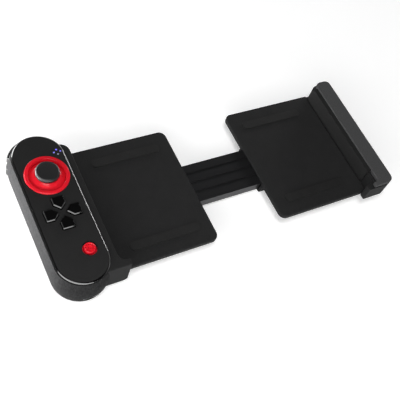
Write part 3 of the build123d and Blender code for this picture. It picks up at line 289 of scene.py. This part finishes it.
# Roughness wanders by spread; grain is in cells per metre; mottle, bump and dust are strengths
plastics = {
    "shellDark": {
        "colour": (0.0092, 0.0092, 0.0094), "roughness": 0.50, "spread": 0.08, "grain": 3400, "mottle": 0.08,
        "bump": 0.3, "dust": 0.02, "specular": 0.3,
    },
    # wallGreyPaintedLit: the face's own black plastic in a lighter grey, partly its coarser texture and
    # partly painted light for the lamp on the side wall
    "wallGreyPaintedLit": {
        "colour": (0.025, 0.025, 0.0255), "roughness": 0.70, "spread": 0.08, "grain": 3000, "mottle": 0.2,
        "bump": 0.8, "dust": 0, "specular": 0.03, "streaks": (1300, 1300, 500),
    },
    "edgeGloss": {
        "colour": (0.002, 0.002, 0.002), "roughness": 0.10, "spread": 0.04, "grain": 2600, "mottle": 0,
        "bump": 0.05, "dust": 0, "coat": 1.0, "specular": 0.6,
    },
    "trayDark": {
        "colour": (0.018, 0.018, 0.0183), "roughness": 0.65, "spread": 0.10, "grain": 2600, "mottle": 0.12,
        "bump": 0.5, "dust": 0.03, "specular": 0.08,
    },
    "clampGrey": {
        "colour": (0.056, 0.056, 0.057), "roughness": 0.65, "spread": 0.08, "grain": 2600, "mottle": 0.35,
        "bump": 0.6, "dust": 0.03, "specular": 0.08,
    },
    "keyGloss": {
        "colour": (0.001, 0.001, 0.0011), "roughness": 0.18, "spread": 0.04, "grain": 900, "mottle": 0,
        "bump": 0.02, "dust": 0.004, "coat": 0.6, "specular": 0.5,
    },
    "redGloss": {
        "colour": (0.76, 0.012, 0.025), "roughness": 0.22, "spread": 0.06, "grain": 1500, "mottle": 0.03,
        "bump": 0.05, "dust": 0.002, "specular": 0.3,
    },
    "capRubber": {
        "colour": (0.013, 0.013, 0.0135), "roughness": 0.38, "spread": 0.10, "grain": 5200, "mottle": 0.14,
        "bump": 0.4, "dust": 0.02, "specular": 0.5,
    },
    "padRubber": {
        "colour": (0.010, 0.010, 0.010), "roughness": 0.72, "spread": 0.08, "grain": 4200, "mottle": 0.12,
        "bump": 0.7, "dust": 0.04, "specular": 0.25,
    },
    "stickNylon": {
        "colour": (0.62, 0.61, 0.58), "roughness": 0.40, "spread": 0.08, "grain": 1800, "mottle": 0.04,
        "bump": 0.2, "dust": 0,
    },
    "circuitGreen": {
        "colour": (0.01, 0.09, 0.04), "roughness": 0.28, "spread": 0.12, "grain": 1200, "mottle": 0.30,
        "bump": 0.3, "dust": 0, "coat": 0.3,
    },
    "cellWrap": {
        "colour": (0.30, 0.32, 0.35), "roughness": 0.34, "spread": 0.15, "grain": 300, "mottle": 0.08,
        "bump": 0.3, "dust": 0,
    },
    "keySheet": {
        "colour": (0.50, 0.50, 0.47), "roughness": 0.5, "spread": 0.08, "grain": 2400, "mottle": 0.05,
        "bump": 0.3, "dust": 0,
    },
}
metals = {
    "beamAlloy": {"colour": (0.06, 0.06, 0.063), "roughness": 0.36, "stretch": (60, 9000, 9000)},
    "zincSteel": {"colour": (0.55, 0.55, 0.56), "roughness": 0.28, "stretch": (3000, 3000, 400)},
}
finishes = {name: mouldedPlastic(name, **values) for name, values in plastics.items()}
finishes.update({name: drawnMetal(name, **values) for name, values in metals.items()})
print("finishes ready:", len(finishes))


# Surface helpers

# Rows of the grid are closed loops; cell (i, j) is the quad between rows i and i+1, columns j and j+1
def meshFromGrid(name, grid, capFirst=False, capLast=False):
    rows, columns = grid.shape[:2]
    points = grid.reshape(-1, 3)
    index = np.arange(rows * columns).reshape(rows, columns)
    nextColumn = np.roll(index, -1, axis=1)
    quads = np.stack([index[:-1], nextColumn[:-1], nextColumn[1:], index[1:]], axis=-1).reshape(-1, 4)
    faces = quads.tolist()
    if capFirst:
        faces.append(index[0][::-1].tolist())
    if capLast:
        faces.append(index[-1].tolist())
    mesh = bpy.data.meshes.new(name)
    mesh.from_pydata((points * mm).tolist(), [], faces)
    mesh.polygons.foreach_set("use_smooth", np.ones(len(mesh.polygons), bool))
    mesh.update()
    return mesh


# An object with one finish, whose edges over sharp degrees stay crisp
def linkMesh(name, mesh, finish, sharp):
    piece = bpy.data.objects.new(name, mesh)
    bpy.context.scene.collection.objects.link(piece)
    mesh.materials.clear()
    mesh.materials.append(finishes[finish])
    mesh.set_sharp_from_angle(angle=math.radians(sharp))
    return piece


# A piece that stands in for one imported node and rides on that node's body
def addPiece(name, mesh, finish, node, sharp):
    piece = linkMesh(name, mesh, finish, sharp)
    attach(piece, nodes[node]["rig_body"])
    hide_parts(node)
    return piece


# A turned surface: (r, z) carried round the centre, x = cx + r cos u, y = cy + r sin u
def turnedGrid(profile, centre, steps):
    u = np.linspace(0, 2 * np.pi, steps, endpoint=False)
    r, z = np.array(profile, float).T
    x = centre[0] + r[:, None] * np.cos(u)
    y = centre[1] + r[:, None] * np.sin(u)
    return np.stack([x, y, np.repeat(z[:, None], steps, axis=1)], axis=-1)


# An arc in the (r, z) half plane, from angle a to b in degrees about (r0, z0)
def profileArc(r0, z0, radius, a, b, count):
    t = np.radians(np.linspace(a, b, count))
    return list(zip(r0 + radius * np.cos(t), z0 + radius * np.sin(t)))


# A closed outline with rounded corners: each corner gives an arc of count points, tangent to both sides
def roundedOutline(corners, radius, count):
    pts = np.array(corners, float)
    before = np.roll(pts, 1, axis=0) - pts
    after = np.roll(pts, -1, axis=0) - pts
    before /= np.linalg.norm(before, axis=1)[:, None]
    after /= np.linalg.norm(after, axis=1)[:, None]
    half = np.arccos(np.clip((before * after).sum(1), -1, 1)) / 2
    bisector = before + after
    bisector /= np.linalg.norm(bisector, axis=1)[:, None]
    centres = pts + bisector * (radius / np.sin(half))[:, None]
    start = pts + before * (radius / np.tan(half))[:, None] - centres
    end = pts + after * (radius / np.tan(half))[:, None] - centres
    a0 = np.arctan2(start[:, 1], start[:, 0])
    turn = (np.arctan2(end[:, 1], end[:, 0]) - a0 + np.pi) % (2 * np.pi) - np.pi
    t = np.linspace(0, 1, count)
    angle = a0[:, None] + turn[:, None] * t
    loop = centres[:, None] + radius * np.stack([np.cos(angle), np.sin(angle)], -1)
    return loop.reshape(-1, 2)


# Moves each point of an outline inward along the mean of its two edge normals, mitred
def insetOutline(loop, amount):
    edge = np.roll(loop, -1, axis=0) - loop
    edge /= np.linalg.norm(edge, axis=1)[:, None]
    normal = np.stack([-edge[:, 1], edge[:, 0]], -1)
    mean = normal + np.roll(normal, 1, axis=0)
    mean /= (mean * normal).sum(1)[:, None]
    return loop + mean * amount


merging = {"distance": 2e-6, "flatWithin": 0.05}  # in metres and degrees


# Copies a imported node's mesh and merges its loose triangles; flat faces join into one where flat is true.
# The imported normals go, because they no longer fit the merged corners
def mergedMesh(name, node, flat):
    mesh = nodes[node].data.copy()
    mesh.name = name
    work = bmesh.new()
    work.from_mesh(mesh)
    bmesh.ops.remove_doubles(work, verts=work.verts, dist=merging["distance"])
    if flat:
        bmesh.ops.dissolve_limit(
            work, angle_limit=math.radians(merging["flatWithin"]), use_dissolve_boundaries=False,
            verts=work.verts, edges=work.edges,
        )
    work.to_mesh(mesh)
    work.free()
    mesh.attributes.remove(mesh.attributes["custom_normal"])
    mesh.polygons.foreach_set("use_smooth", np.ones(len(mesh.polygons), bool))
    return mesh


softening = {"sharp": 32, "segments": 2}


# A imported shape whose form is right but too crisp: merged, and its edges rounded by a live bevel
def softenedCopy(name, node, finish, slotName, width):
    mesh = mergedMesh(name, node, True)
    piece = addPiece(name, mesh, finish, node, softening["sharp"])
    bevel = piece.modifiers.new("edgeRound", "BEVEL")
    bevel.width = width * mm
    bevel.segments = softening["segments"]
    bevel.limit_method = "ANGLE"
    bevel.angle_limit = math.radians(softening["sharp"])
    bevel.harden_normals = True
    bevel.use_clamp_overlap = True


# Gives each corner on an exact surface that surface's own normal, so that facets don't show in the gloss;
# exact(points) gives the normals and the distances away, and a corner follows it only within turn degrees
def useExactNormals(mesh, surfaces, within=0.04):
    corners = len(mesh.loops)
    vertexOf = np.zeros(corners, np.int32)
    mesh.loops.foreach_get("vertex_index", vertexOf)
    points = np.zeros(len(mesh.vertices) * 3, np.float32)
    mesh.vertices.foreach_get("co", points)
    points = points.reshape(-1, 3) / mm
    found = np.zeros(corners * 3, np.float32)
    mesh.corner_normals.foreach_get("vector", found)
    found = found.reshape(-1, 3)
    counts = np.zeros(len(mesh.polygons), np.int32)
    mesh.polygons.foreach_get("loop_total", counts)
    flat = np.zeros(len(mesh.polygons) * 3, np.float32)
    mesh.polygons.foreach_get("normal", flat)
    flat = np.repeat(flat.reshape(-1, 3), counts, axis=0)
    for exact, turn in surfaces:
        normals, away = exact(points)
        normals, away = normals[vertexOf], away[vertexOf]
        agree = (flat * normals).sum(1) > math.cos(math.radians(turn))
        use = agree & (np.abs(away) < within)
        found = np.where(use[:, None], normals, found)
    mesh.normals_split_custom_set(found.tolist())


# Handle

handle = {
    "straight": 61.0, "belly": 15.45, "bellyHeight": 9.0, "flankCurve": 29.2, "edgeBottom": 19.1,
    "faceInner": 12.6, "coverFoot": 18.1, "bevelLean": (32, 46), "sharp": 30, "wallTurn": 9, "bevelTurn": 26,
    "outwardFrom": 0.2,
}


# The way out from the capsule's middle line, and how far out each point is
def capsuleReach(points):
    half = handle["straight"] / 2
    across = points[:, :2].copy()
    across[:, 1] -= np.clip(across[:, 1], -half, half)
    reach = np.maximum(np.linalg.norm(across, axis=1), 1e-6)
    return across / reach[:, None], reach


# The barrel wall: a circle of radius flankCurve about (belly - flankCurve, bellyHeight) in the plane through
# the nearest point of the capsule's middle line; the normal points away from the circle's centre, and the
# distance is that to its arc
def barrelWall(points):
    way, reach = capsuleReach(points)
    out = reach - (handle["belly"] - handle["flankCurve"])
    up = points[:, 2] - handle["bellyHeight"]
    length = np.hypot(out, up)
    normal = np.column_stack([way * (out / length)[:, None], up / length])
    return normal, length - handle["flankCurve"]


# The bevelled edge of the face, shaded as if softened: its normal leans out by the first bevelLean at the
# top, and evenly on to the second at the foot; points off the bevel count as far away
def faceBevel(points):
    way, reach = capsuleReach(points)
    down = (faceTop - points[:, 2]) / (faceTop - handle["edgeBottom"])
    atTop, atFoot = handle["bevelLean"]
    lean = np.radians(atTop + (atFoot - atTop) * np.clip(down, 0, 1))
    normal = np.column_stack([way * np.sin(lean)[:, None], np.cos(lean)])
    off = (down < -0.02) | (down > 1.02) | (reach < handle["faceInner"])
    return normal, np.where(off, 1.0, 0.0)


# The handle's side wall takes the lighter grey that carries painted light
def makeHandleTub():
    mesh = mergedMesh("handleTub", "grip_tub", False)
    addPiece("handleTub", mesh, "wallGreyPaintedLit", "grip_tub", handle["sharp"])
    useExactNormals(mesh, [(barrelWall, handle["wallTurn"])])


# The face cover keeps its satin top; its bevel and the narrow side below it are polished black
def makeFaceCover():
    mesh = mergedMesh("faceCover", "face_cover", False)
    addPiece("faceCover", mesh, "shellDark", "face_cover", handle["sharp"])
    useExactNormals(mesh, [(barrelWall, handle["wallTurn"]), (faceBevel, handle["bevelTurn"])])
    mesh.materials.append(finishes["edgeGloss"])
    normals = np.zeros(len(mesh.polygons) * 3, np.float32)
    mesh.polygons.foreach_get("normal", normals)
    normals = normals.reshape(-1, 3)
    centres = np.zeros(len(mesh.polygons) * 3, np.float32)
    mesh.polygons.foreach_get("center", centres)
    centres = centres.reshape(-1, 3) / mm
    way, reach = capsuleReach(centres)
    outward = (normals[:, :2] * way).sum(1) > handle["outwardFrom"]
    edge = outward & (reach > handle["faceInner"]) & (centres[:, 2] > handle["coverFoot"])
    mesh.polygons.foreach_set("material_index", edge.astype(np.int32))
    mesh.update()


makeHandleTub()
makeFaceCover()
print("handle dressed")

# Thumb stick: the ring, the red dome under the cap and the cap are turned profiles about the stick's axis.
# Rounds are given as the centre's radius, the centre's height above the face, and the radius of the round
stick = {"centre": (0.17, 18.64), "steps": 128}
ring = {
    "seat": 11.1, "lip": 11.5, "outerRound": (11.1, 0.3, 0.4), "crestRound": (9.98, 0.26, 0.46),
    "mouthTop": 9.42, "mouth": 9.3, "funnel": (9.95, 18.25),
}
dome = {
    "pivotHeight": 8.6, "radius": 13.5, "halfAngle": 58, "wall": 0.9, "neck": 3.0, "bore": 2.6, "top": 22.25,
}
cap = {
    "radius": 6.2, "top": faceTop + 4.3, "foot": faceTop + 2.5, "boss": 3.0, "rimInset": 1.9, "rimRound": 2.1,
    "dishInset": 1.6, "dishDrop": 0.16, "dishDepth": 0.12,
}


def makeBezel():
    r0, rise, radius = ring["outerRound"]
    outer = [(ring["seat"], faceUnder), (ring["seat"], faceTop), (ring["lip"], faceTop)]
    outer += profileArc(r0, faceTop + rise, radius, 0, 78, 8)
    r0, rise, radius = ring["crestRound"]
    crest = profileArc(r0, faceTop + rise, radius, 88, 165, 10)
    mouth = [(ring["mouthTop"], faceTop - 0.2), (ring["mouth"], faceTop - 0.6)]
    mouth += [(ring["mouth"], faceTop - 1.0), ring["funnel"], (ring["seat"], faceUnder)]
    mesh = meshFromGrid("stickBezel", turnedGrid(outer + crest + mouth, stick["centre"], stick["steps"]))
    addPiece("stickBezel", mesh, "redGloss", "stick_bezel", 35)


# The dome: an arc about the stick's pivot, up a short neck, and back along the inner arc to its first loop
def makeDome():
    edge = 90 - dome["halfAngle"]
    start = math.degrees(math.acos(dome["neck"] / dome["radius"]))
    skin = profileArc(0, dome["pivotHeight"], dome["radius"], edge, start, 40)
    neck = [(dome["neck"] + 0.02, skin[-1][1] + 0.25), (dome["neck"] - 0.05, dome["top"])]
    neck += [(dome["bore"], dome["top"] - 0.05)]
    inside = profileArc(0, dome["pivotHeight"], dome["radius"] - dome["wall"], start, edge, 24)
    profile = skin + neck + inside + skin[:1]
    mesh = meshFromGrid("stickDome", turnedGrid(profile, stick["centre"], stick["steps"]))
    addPiece("stickDome", mesh, "redGloss", "stick_dome", 45)


# The cap: from its boss out along the underside, up the side, over the rim's round and down into the dish;
# the dish sinks by dishDepth x (1 - the square of the share of the way out to its edge)
def makeThumbCap():
    r, top, foot = cap["radius"], cap["top"], cap["foot"]
    profile = [(0.02, foot - 0.1), (cap["boss"], foot - 0.1), (cap["boss"] + 0.05, foot), (r - 0.95, foot)]
    profile += [(r - 0.85, foot - 0.3), (r - 0.15, foot - 0.4), (r, foot - 0.25), (r, top - 0.95)]
    profile += profileArc(r - cap["rimInset"], top - cap["rimInset"], cap["rimRound"], 28, 58, 10)
    floor = top - cap["dishDrop"]
    profile += [(r - 0.95, top - 0.08), (r - 1.15, floor), (r - 1.45, floor)]
    reach = np.linspace(r - cap["dishInset"], 0.02, 14)
    profile += list(zip(reach, floor - cap["dishDepth"] * (1 - (reach / (r - cap["dishInset"])) ** 2)))
    mesh = meshFromGrid("thumbCap", turnedGrid(profile, stick["centre"], stick["steps"]), True, True)
    addPiece("thumbCap", mesh, "capRubber", "thumb_cap", 40)


makeBezel()
makeDome()
makeThumbCap()
print("thumb stick built")

# Direction keys: a house-shaped outline over a wider flange, carried up its side, over a flat bevel and onto
# a shallow crown, then turned about the keys' centre
keys = {
    "centre": (0.1, -4.2), "tip": 2.0, "end": 9.3, "halfWidth": 3.15, "shoulder": 5.0, "cornerRound": 0.55,
    "rise": 0.9, "bevelWidth": 0.38, "bevelHeight": 0.42, "crown": 0.06, "crownShift": 0.4, "flange": 0.7,
    "turns": {"right": 0, "up": 90, "left": 180, "down": 270},
}


def makeKey(name, turn):
    k = keys
    house = [
        (k["tip"], 0), (k["shoulder"], -k["halfWidth"]), (k["end"], -k["halfWidth"]),
        (k["end"], k["halfWidth"]), (k["shoulder"], k["halfWidth"]),
    ]
    loop = roundedOutline(house, k["cornerRound"], 7)
    top = faceTop + k["rise"]
    levels = [(-k["flange"], flangeFoot), (-k["flange"], faceUnder - 0.02), (0, faceUnder)]
    levels += [(0, top - k["bevelHeight"]), (k["bevelWidth"], top)]
    rows = [np.column_stack([insetOutline(loop, a), np.full(len(loop), z)]) for a, z in levels]
    middle = np.array([(k["shoulder"] + k["end"]) / 2 - k["crownShift"], 0])
    last = rows[-1][:, :2]
    for share in (0.75, 0.5, 0.25, 0.02):
        inner = middle + (last - middle) * share
        rows.append(np.column_stack([inner, np.full(len(inner), top + k["crown"] * (1 - share ** 2))]))
    grid = np.array(rows)
    a = math.radians(turn)
    x = k["centre"][0] + grid[..., 0] * math.cos(a) - grid[..., 1] * math.sin(a)
    y = k["centre"][1] + grid[..., 0] * math.sin(a) + grid[..., 1] * math.cos(a)
    grid = np.stack([x, y, grid[..., 2]], -1)
    node = "key_" + name
    mesh = meshFromGrid(name + "Key", grid, True, True)
    addPiece(name + "Key", mesh, "keyGloss", node, 30)


for keyName, keyTurn in keys["turns"].items():
    makeKey(keyName, keyTurn)

# Menu button: a turned red cap with a plain raised ring in its top; the hollow under it takes the rubber dome
# when it is pressed. The grooves are the profile's corners as radius and depth below the top
menuButton = {
    "centre": (5.3, -26.8), "radius": 2.95, "rise": 0.8, "flange": 0.7, "hollow": (2.6, 17.95),
    "edgeRound": 0.4, "steps": 96,
    "grooves": [
        (2.12, 0.02), (2.02, 0.42), (1.6, 0.42), (1.5, 0.06), (1.0, 0.06), (0.9, 0.4), (0.4, 0.42),
        (0.02, 0.42),
    ],
}


def makeMenuButton():
    b = menuButton
    r, top, (hollow, roof) = b["radius"], faceTop + b["rise"], b["hollow"]
    profile = [(0.02, roof), (hollow, roof), (hollow, flangeFoot), (r + b["flange"], flangeFoot)]
    profile += [(r + b["flange"], faceUnder), (r, faceUnder), (r, top - b["edgeRound"] - 0.05)]
    profile += profileArc(r - b["edgeRound"], top - b["edgeRound"], b["edgeRound"], 8, 88, 8)
    profile += [(r - 0.8, top)] + [(reach, top - depth) for reach, depth in b["grooves"]]
    mesh = meshFromGrid("menuButton", turnedGrid(profile, b["centre"], b["steps"]), True, True)
    addPiece("menuButton", mesh, "redGloss", "home_button", 40)


makeMenuButton()
softenedCopy("shoulderBumper", "shoulder_bumper", "keyGloss", "key_black", 0.15)
softenedCopy("shoulderTrigger", "shoulder_trigger", "keyGloss", "key_black", 0.15)
print("keys built")


# Bracket and clamp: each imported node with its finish, its slot and the width of its rounded edges
bracket = {
    "jawAndDeck": ("near_shell", "trayDark", "shell_dark", 0.12),
    "nearKeel": ("near_base", "trayDark", "shell_dark", 0.12),
    "slideBeam": ("slide_beam", "beamAlloy", "beam_alloy", 0.1),
    "clampBody": ("clamp_base", "trayDark", "shell_dark", 0.12),
    "clampDeck": ("clamp_deck", "trayDark", "shell_dark", 0.1),
    "clampCover": ("clamp_cover", "clampGrey", "clamp_grey", 0.05),
}
for pieceName, look in bracket.items():
    softenedCopy(pieceName, *look)

# Return springs: each hangs on a pin at both ends, so on the real bracket it lengthens and shortens with the
# clamp's slide; the merged copy here stays fixed in place
springs = {"nearCoil": 30.4, "farCoil": 179.2, "middle": (-1.7, 4.45), "sharp": 32}


def makeReturnSprings():
    mesh = mergedMesh("returnSprings", "return_springs", True)
    piece = linkMesh("returnSprings", mesh, "zincSteel", springs["sharp"])
    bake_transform(piece)
    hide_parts("return_springs")


makeReturnSprings()
print("bracket dressed")


# Materials of the pieces that stay as packed

dressing = {
    "padRubber": ["jaw_facing", "near_strips", "far_strips", "clamp_facing"],
    "stickNylon": ["stick_shaft", "gimbal_cradle", "gimbal_block"],
    "zincSteel": [
        "stick_frame", "case_screws", "jaw_screws", "beam_screws", "clamp_screws", "trigger_pin",
        "near_spring_pins", "far_spring_pins", "charge_socket",
    ],
    "circuitGreen": ["main_board", "stick_board", "charge_board", "lamp_board", "side_board"],
    "shellDark": ["control_chip", "side_switches"],
    "cellWrap": ["battery_cell"],
    "keySheet": ["key_sheet"],
}
for finishName, members in dressing.items():
    for member in members:
        for materialSlot in nodes[member].material_slots:
            materialSlot.material = finishes[finishName]


# Indicator lenses: a lens counts as lit from litFrom metres along y, measured from the middle of the four; a
# lit lens's base colour is painted blue with its lamp's light, and the unlit lenses get a faint painted glow
lens = {
    "middle": (9.95, 30.95), "litFrom": -0.0006, "litGain": 900.0, "glow": 0.9,
    "dimBase": (0.32, 0.33, 0.42, 1), "litBasePaintedBlue": (0.20, 0.18, 0.85, 1),
    "dimPaintedGlow": (0.02, 0.02, 0.05, 1), "litGlow": (0.16, 0.13, 1.0, 1),
}


# Clear plastic that glows blue where a lamp is lit, with its base colour painted blue there too, and a faint
# painted glow where unlit: lit = gain x (y - litFrom), kept between 0 and 1
def lensMaterial():
    material, tree, shader = newMaterial("indicatorLens")
    coords = tree.nodes.new("ShaderNodeTexCoord")
    mapping = tree.nodes.new("ShaderNodeMapping")
    mapping.inputs["Location"].default_value = (-lens["middle"][0] * mm, -lens["middle"][1] * mm, 0)
    tree.links.new(coords.outputs["Object"], mapping.inputs["Vector"])
    split = tree.nodes.new("ShaderNodeSeparateXYZ")
    tree.links.new(mapping.outputs["Vector"], split.inputs[0])
    above = mathNode(tree, "SUBTRACT", split.outputs["Y"], lens["litFrom"])
    lit = mathNode(tree, "MULTIPLY", above, lens["litGain"], True)
    haze = noiseNode(tree, coords.outputs["Object"], 2500.0, 2.0)
    rough = mathNode(tree, "ADD", 0.2, mathNode(tree, "MULTIPLY", haze, 0.2))
    tree.links.new(mixColour(tree, lit, lens["dimBase"], lens["litBasePaintedBlue"]), shader.inputs["Base Color"])
    tree.links.new(mixColour(tree, lit, lens["dimPaintedGlow"], lens["litGlow"]), shader.inputs["Emission Color"])
    shader.inputs["Emission Strength"].default_value = lens["glow"]
    tree.links.new(rough, shader.inputs["Roughness"])
    return material


for materialSlot in nodes["light_guide"].material_slots:
    materialSlot.material = lensMaterial()
print("packed pieces dressed")


# Stage, camera, lights

# The floor is a hair lower than the feet; its lift whitens it for the camera and in reflections only
floorLook = {"half": 3.0, "drop": 0.00002, "grey": 0.88, "roughness": 0.95, "specular": 0.1, "lift": 0.35}


def makeFloor():
    half = floorLook["half"]
    corners = [(-half, -half, 0), (half, -half, 0), (half, half, 0), (-half, half, 0)]
    mesh = bpy.data.meshes.new("floor")
    mesh.from_pydata(corners, [], [(0, 1, 2, 3)])
    floor = bpy.data.objects.new("floor", mesh)
    bpy.context.scene.collection.objects.link(floor)
    floor.location.z = -floorLook["drop"]
    material, tree, shader = newMaterial("paleFloor")
    shader.inputs["Base Color"].default_value = (*[floorLook["grey"]] * 3, 1)
    shader.inputs["Roughness"].default_value = floorLook["roughness"]
    shader.inputs["Specular IOR Level"].default_value = floorLook["specular"]
    rays = tree.nodes.new("ShaderNodeLightPath")
    seen = mathNode(tree, "MAXIMUM", rays.outputs["Is Camera Ray"], rays.outputs["Is Glossy Ray"])
    seen = mathNode(tree, "MAXIMUM", seen, rays.outputs["Is Transmission Ray"])
    shader.inputs["Emission Color"].default_value = (1, 1, 1, 1)
    tree.links.new(mathNode(tree, "MULTIPLY", seen, floorLook["lift"]), shader.inputs["Emission Strength"])
    mesh.materials.append(material)


makeFloor()


# The room: white at the horizon and dim from a low height up, so that faces that look up stay black;
# the ray's height is the sine of its elevation, and diffuse rays get only a share of it
room = {"whiteBelow": 0.08, "dimAbove": 0.25, "white": 1.0, "dim": 0.03, "diffuseShare": 0.35}


def makeRoom():
    world = bpy.context.scene.world or bpy.data.worlds.new("studio")
    bpy.context.scene.world = world
    world.use_nodes = True
    tree = world.node_tree
    background = tree.nodes["Background"]
    coords = tree.nodes.new("ShaderNodeTexCoord")
    split = tree.nodes.new("ShaderNodeSeparateXYZ")
    tree.links.new(coords.outputs["Generated"], split.inputs[0])
    fade = tree.nodes.new("ShaderNodeMapRange")
    fade.interpolation_type = "SMOOTHSTEP"
    ends = {"From Min": "whiteBelow", "From Max": "dimAbove", "To Min": "white", "To Max": "dim"}
    for label, key in ends.items():
        fade.inputs[label].default_value = room[key]
    tree.links.new(split.outputs["Z"], fade.inputs["Value"])
    rays = tree.nodes.new("ShaderNodeLightPath")
    direct = mathNode(tree, "SUBTRACT", 1.0, rays.outputs["Is Diffuse Ray"])
    rest = mathNode(tree, "MULTIPLY", direct, 1 - room["diffuseShare"])
    share = mathNode(tree, "ADD", room["diffuseShare"], rest)
    background.inputs["Color"].default_value = (1, 1, 1, 1)
    tree.links.new(mathNode(tree, "MULTIPLY", fade.outputs[0], share), background.inputs["Strength"])


makeRoom()

# Soft boxes: each stands at a direction and a distance in metres from the point in mm that it aims at
lamps = {
    "keyBox": {
        "aim": (70, 0, 10), "azimuth": 228, "elevation": 78, "distance": 1.1, "size": (0.5, 0.5),
        "power": 6,
    },
    "frontBox": {
        "aim": (70, 0, 10), "azimuth": 229, "elevation": 25, "distance": 0.6, "size": (1.48, 0.23),
        "power": 5,
    },
    "wallStrip": {
        "aim": (-15, 52, 4), "azimuth": 180, "elevation": 0, "distance": 0.07, "size": (0.15, 0.008),
        "power": 0.5,
    },
    "backStrip": {
        "aim": (0, 30, 20), "azimuth": 110, "elevation": 7, "distance": 0.6, "size": (0.39, 0.1),
        "power": 1.3,
    },
    "rimStrip": {
        "aim": (70, 0, 10), "azimuth": 33, "elevation": 9, "distance": 0.9, "size": (0.4, 0.1),
        "power": 2,
    },
}
for lampName, lamp in lamps.items():
    data = bpy.data.lights.new(lampName, "AREA")
    data.shape = "RECTANGLE"
    data.size, data.size_y = lamp["size"]
    data.energy = lamp["power"]
    a, e = math.radians(lamp["azimuth"]), math.radians(lamp["elevation"])
    way = Vector((math.cos(a) * math.cos(e), math.sin(a) * math.cos(e), math.sin(e)))
    lampObject = bpy.data.objects.new(lampName, data)
    lampObject.location = Vector(lamp["aim"]) * mm + way * lamp["distance"]
    lampObject.rotation_euler = (-way).to_track_quat("-Z", "Y").to_euler()
    lampObject.visible_camera = False
    bpy.context.scene.collection.objects.link(lampObject)

view = {
    "place": (-0.0853, -0.1659, 0.3252), "forward": (0.41700, 0.39420, -0.81898), "roll": 24.4, "lens": 63.94,
    "sensor": 36, "clip": 0.01,
}
cameraData = bpy.data.cameras.new("productCamera")
cameraData.lens = view["lens"]
cameraData.sensor_width = view["sensor"]
cameraData.clip_start = view["clip"]
camera = bpy.data.objects.new("productCamera", cameraData)
level = Vector(view["forward"]).to_track_quat("-Z", "Y").to_matrix().to_4x4()
camera.matrix_world = (
    Matrix.Translation(Vector(view["place"])) @ level @ Matrix.Rotation(math.radians(view["roll"]), 4, "Z")
)
bpy.context.scene.collection.objects.link(camera)
bpy.context.scene.camera = camera
bpy.context.scene.view_settings.view_transform = "Standard"
print("stage, lamps and camera placed")
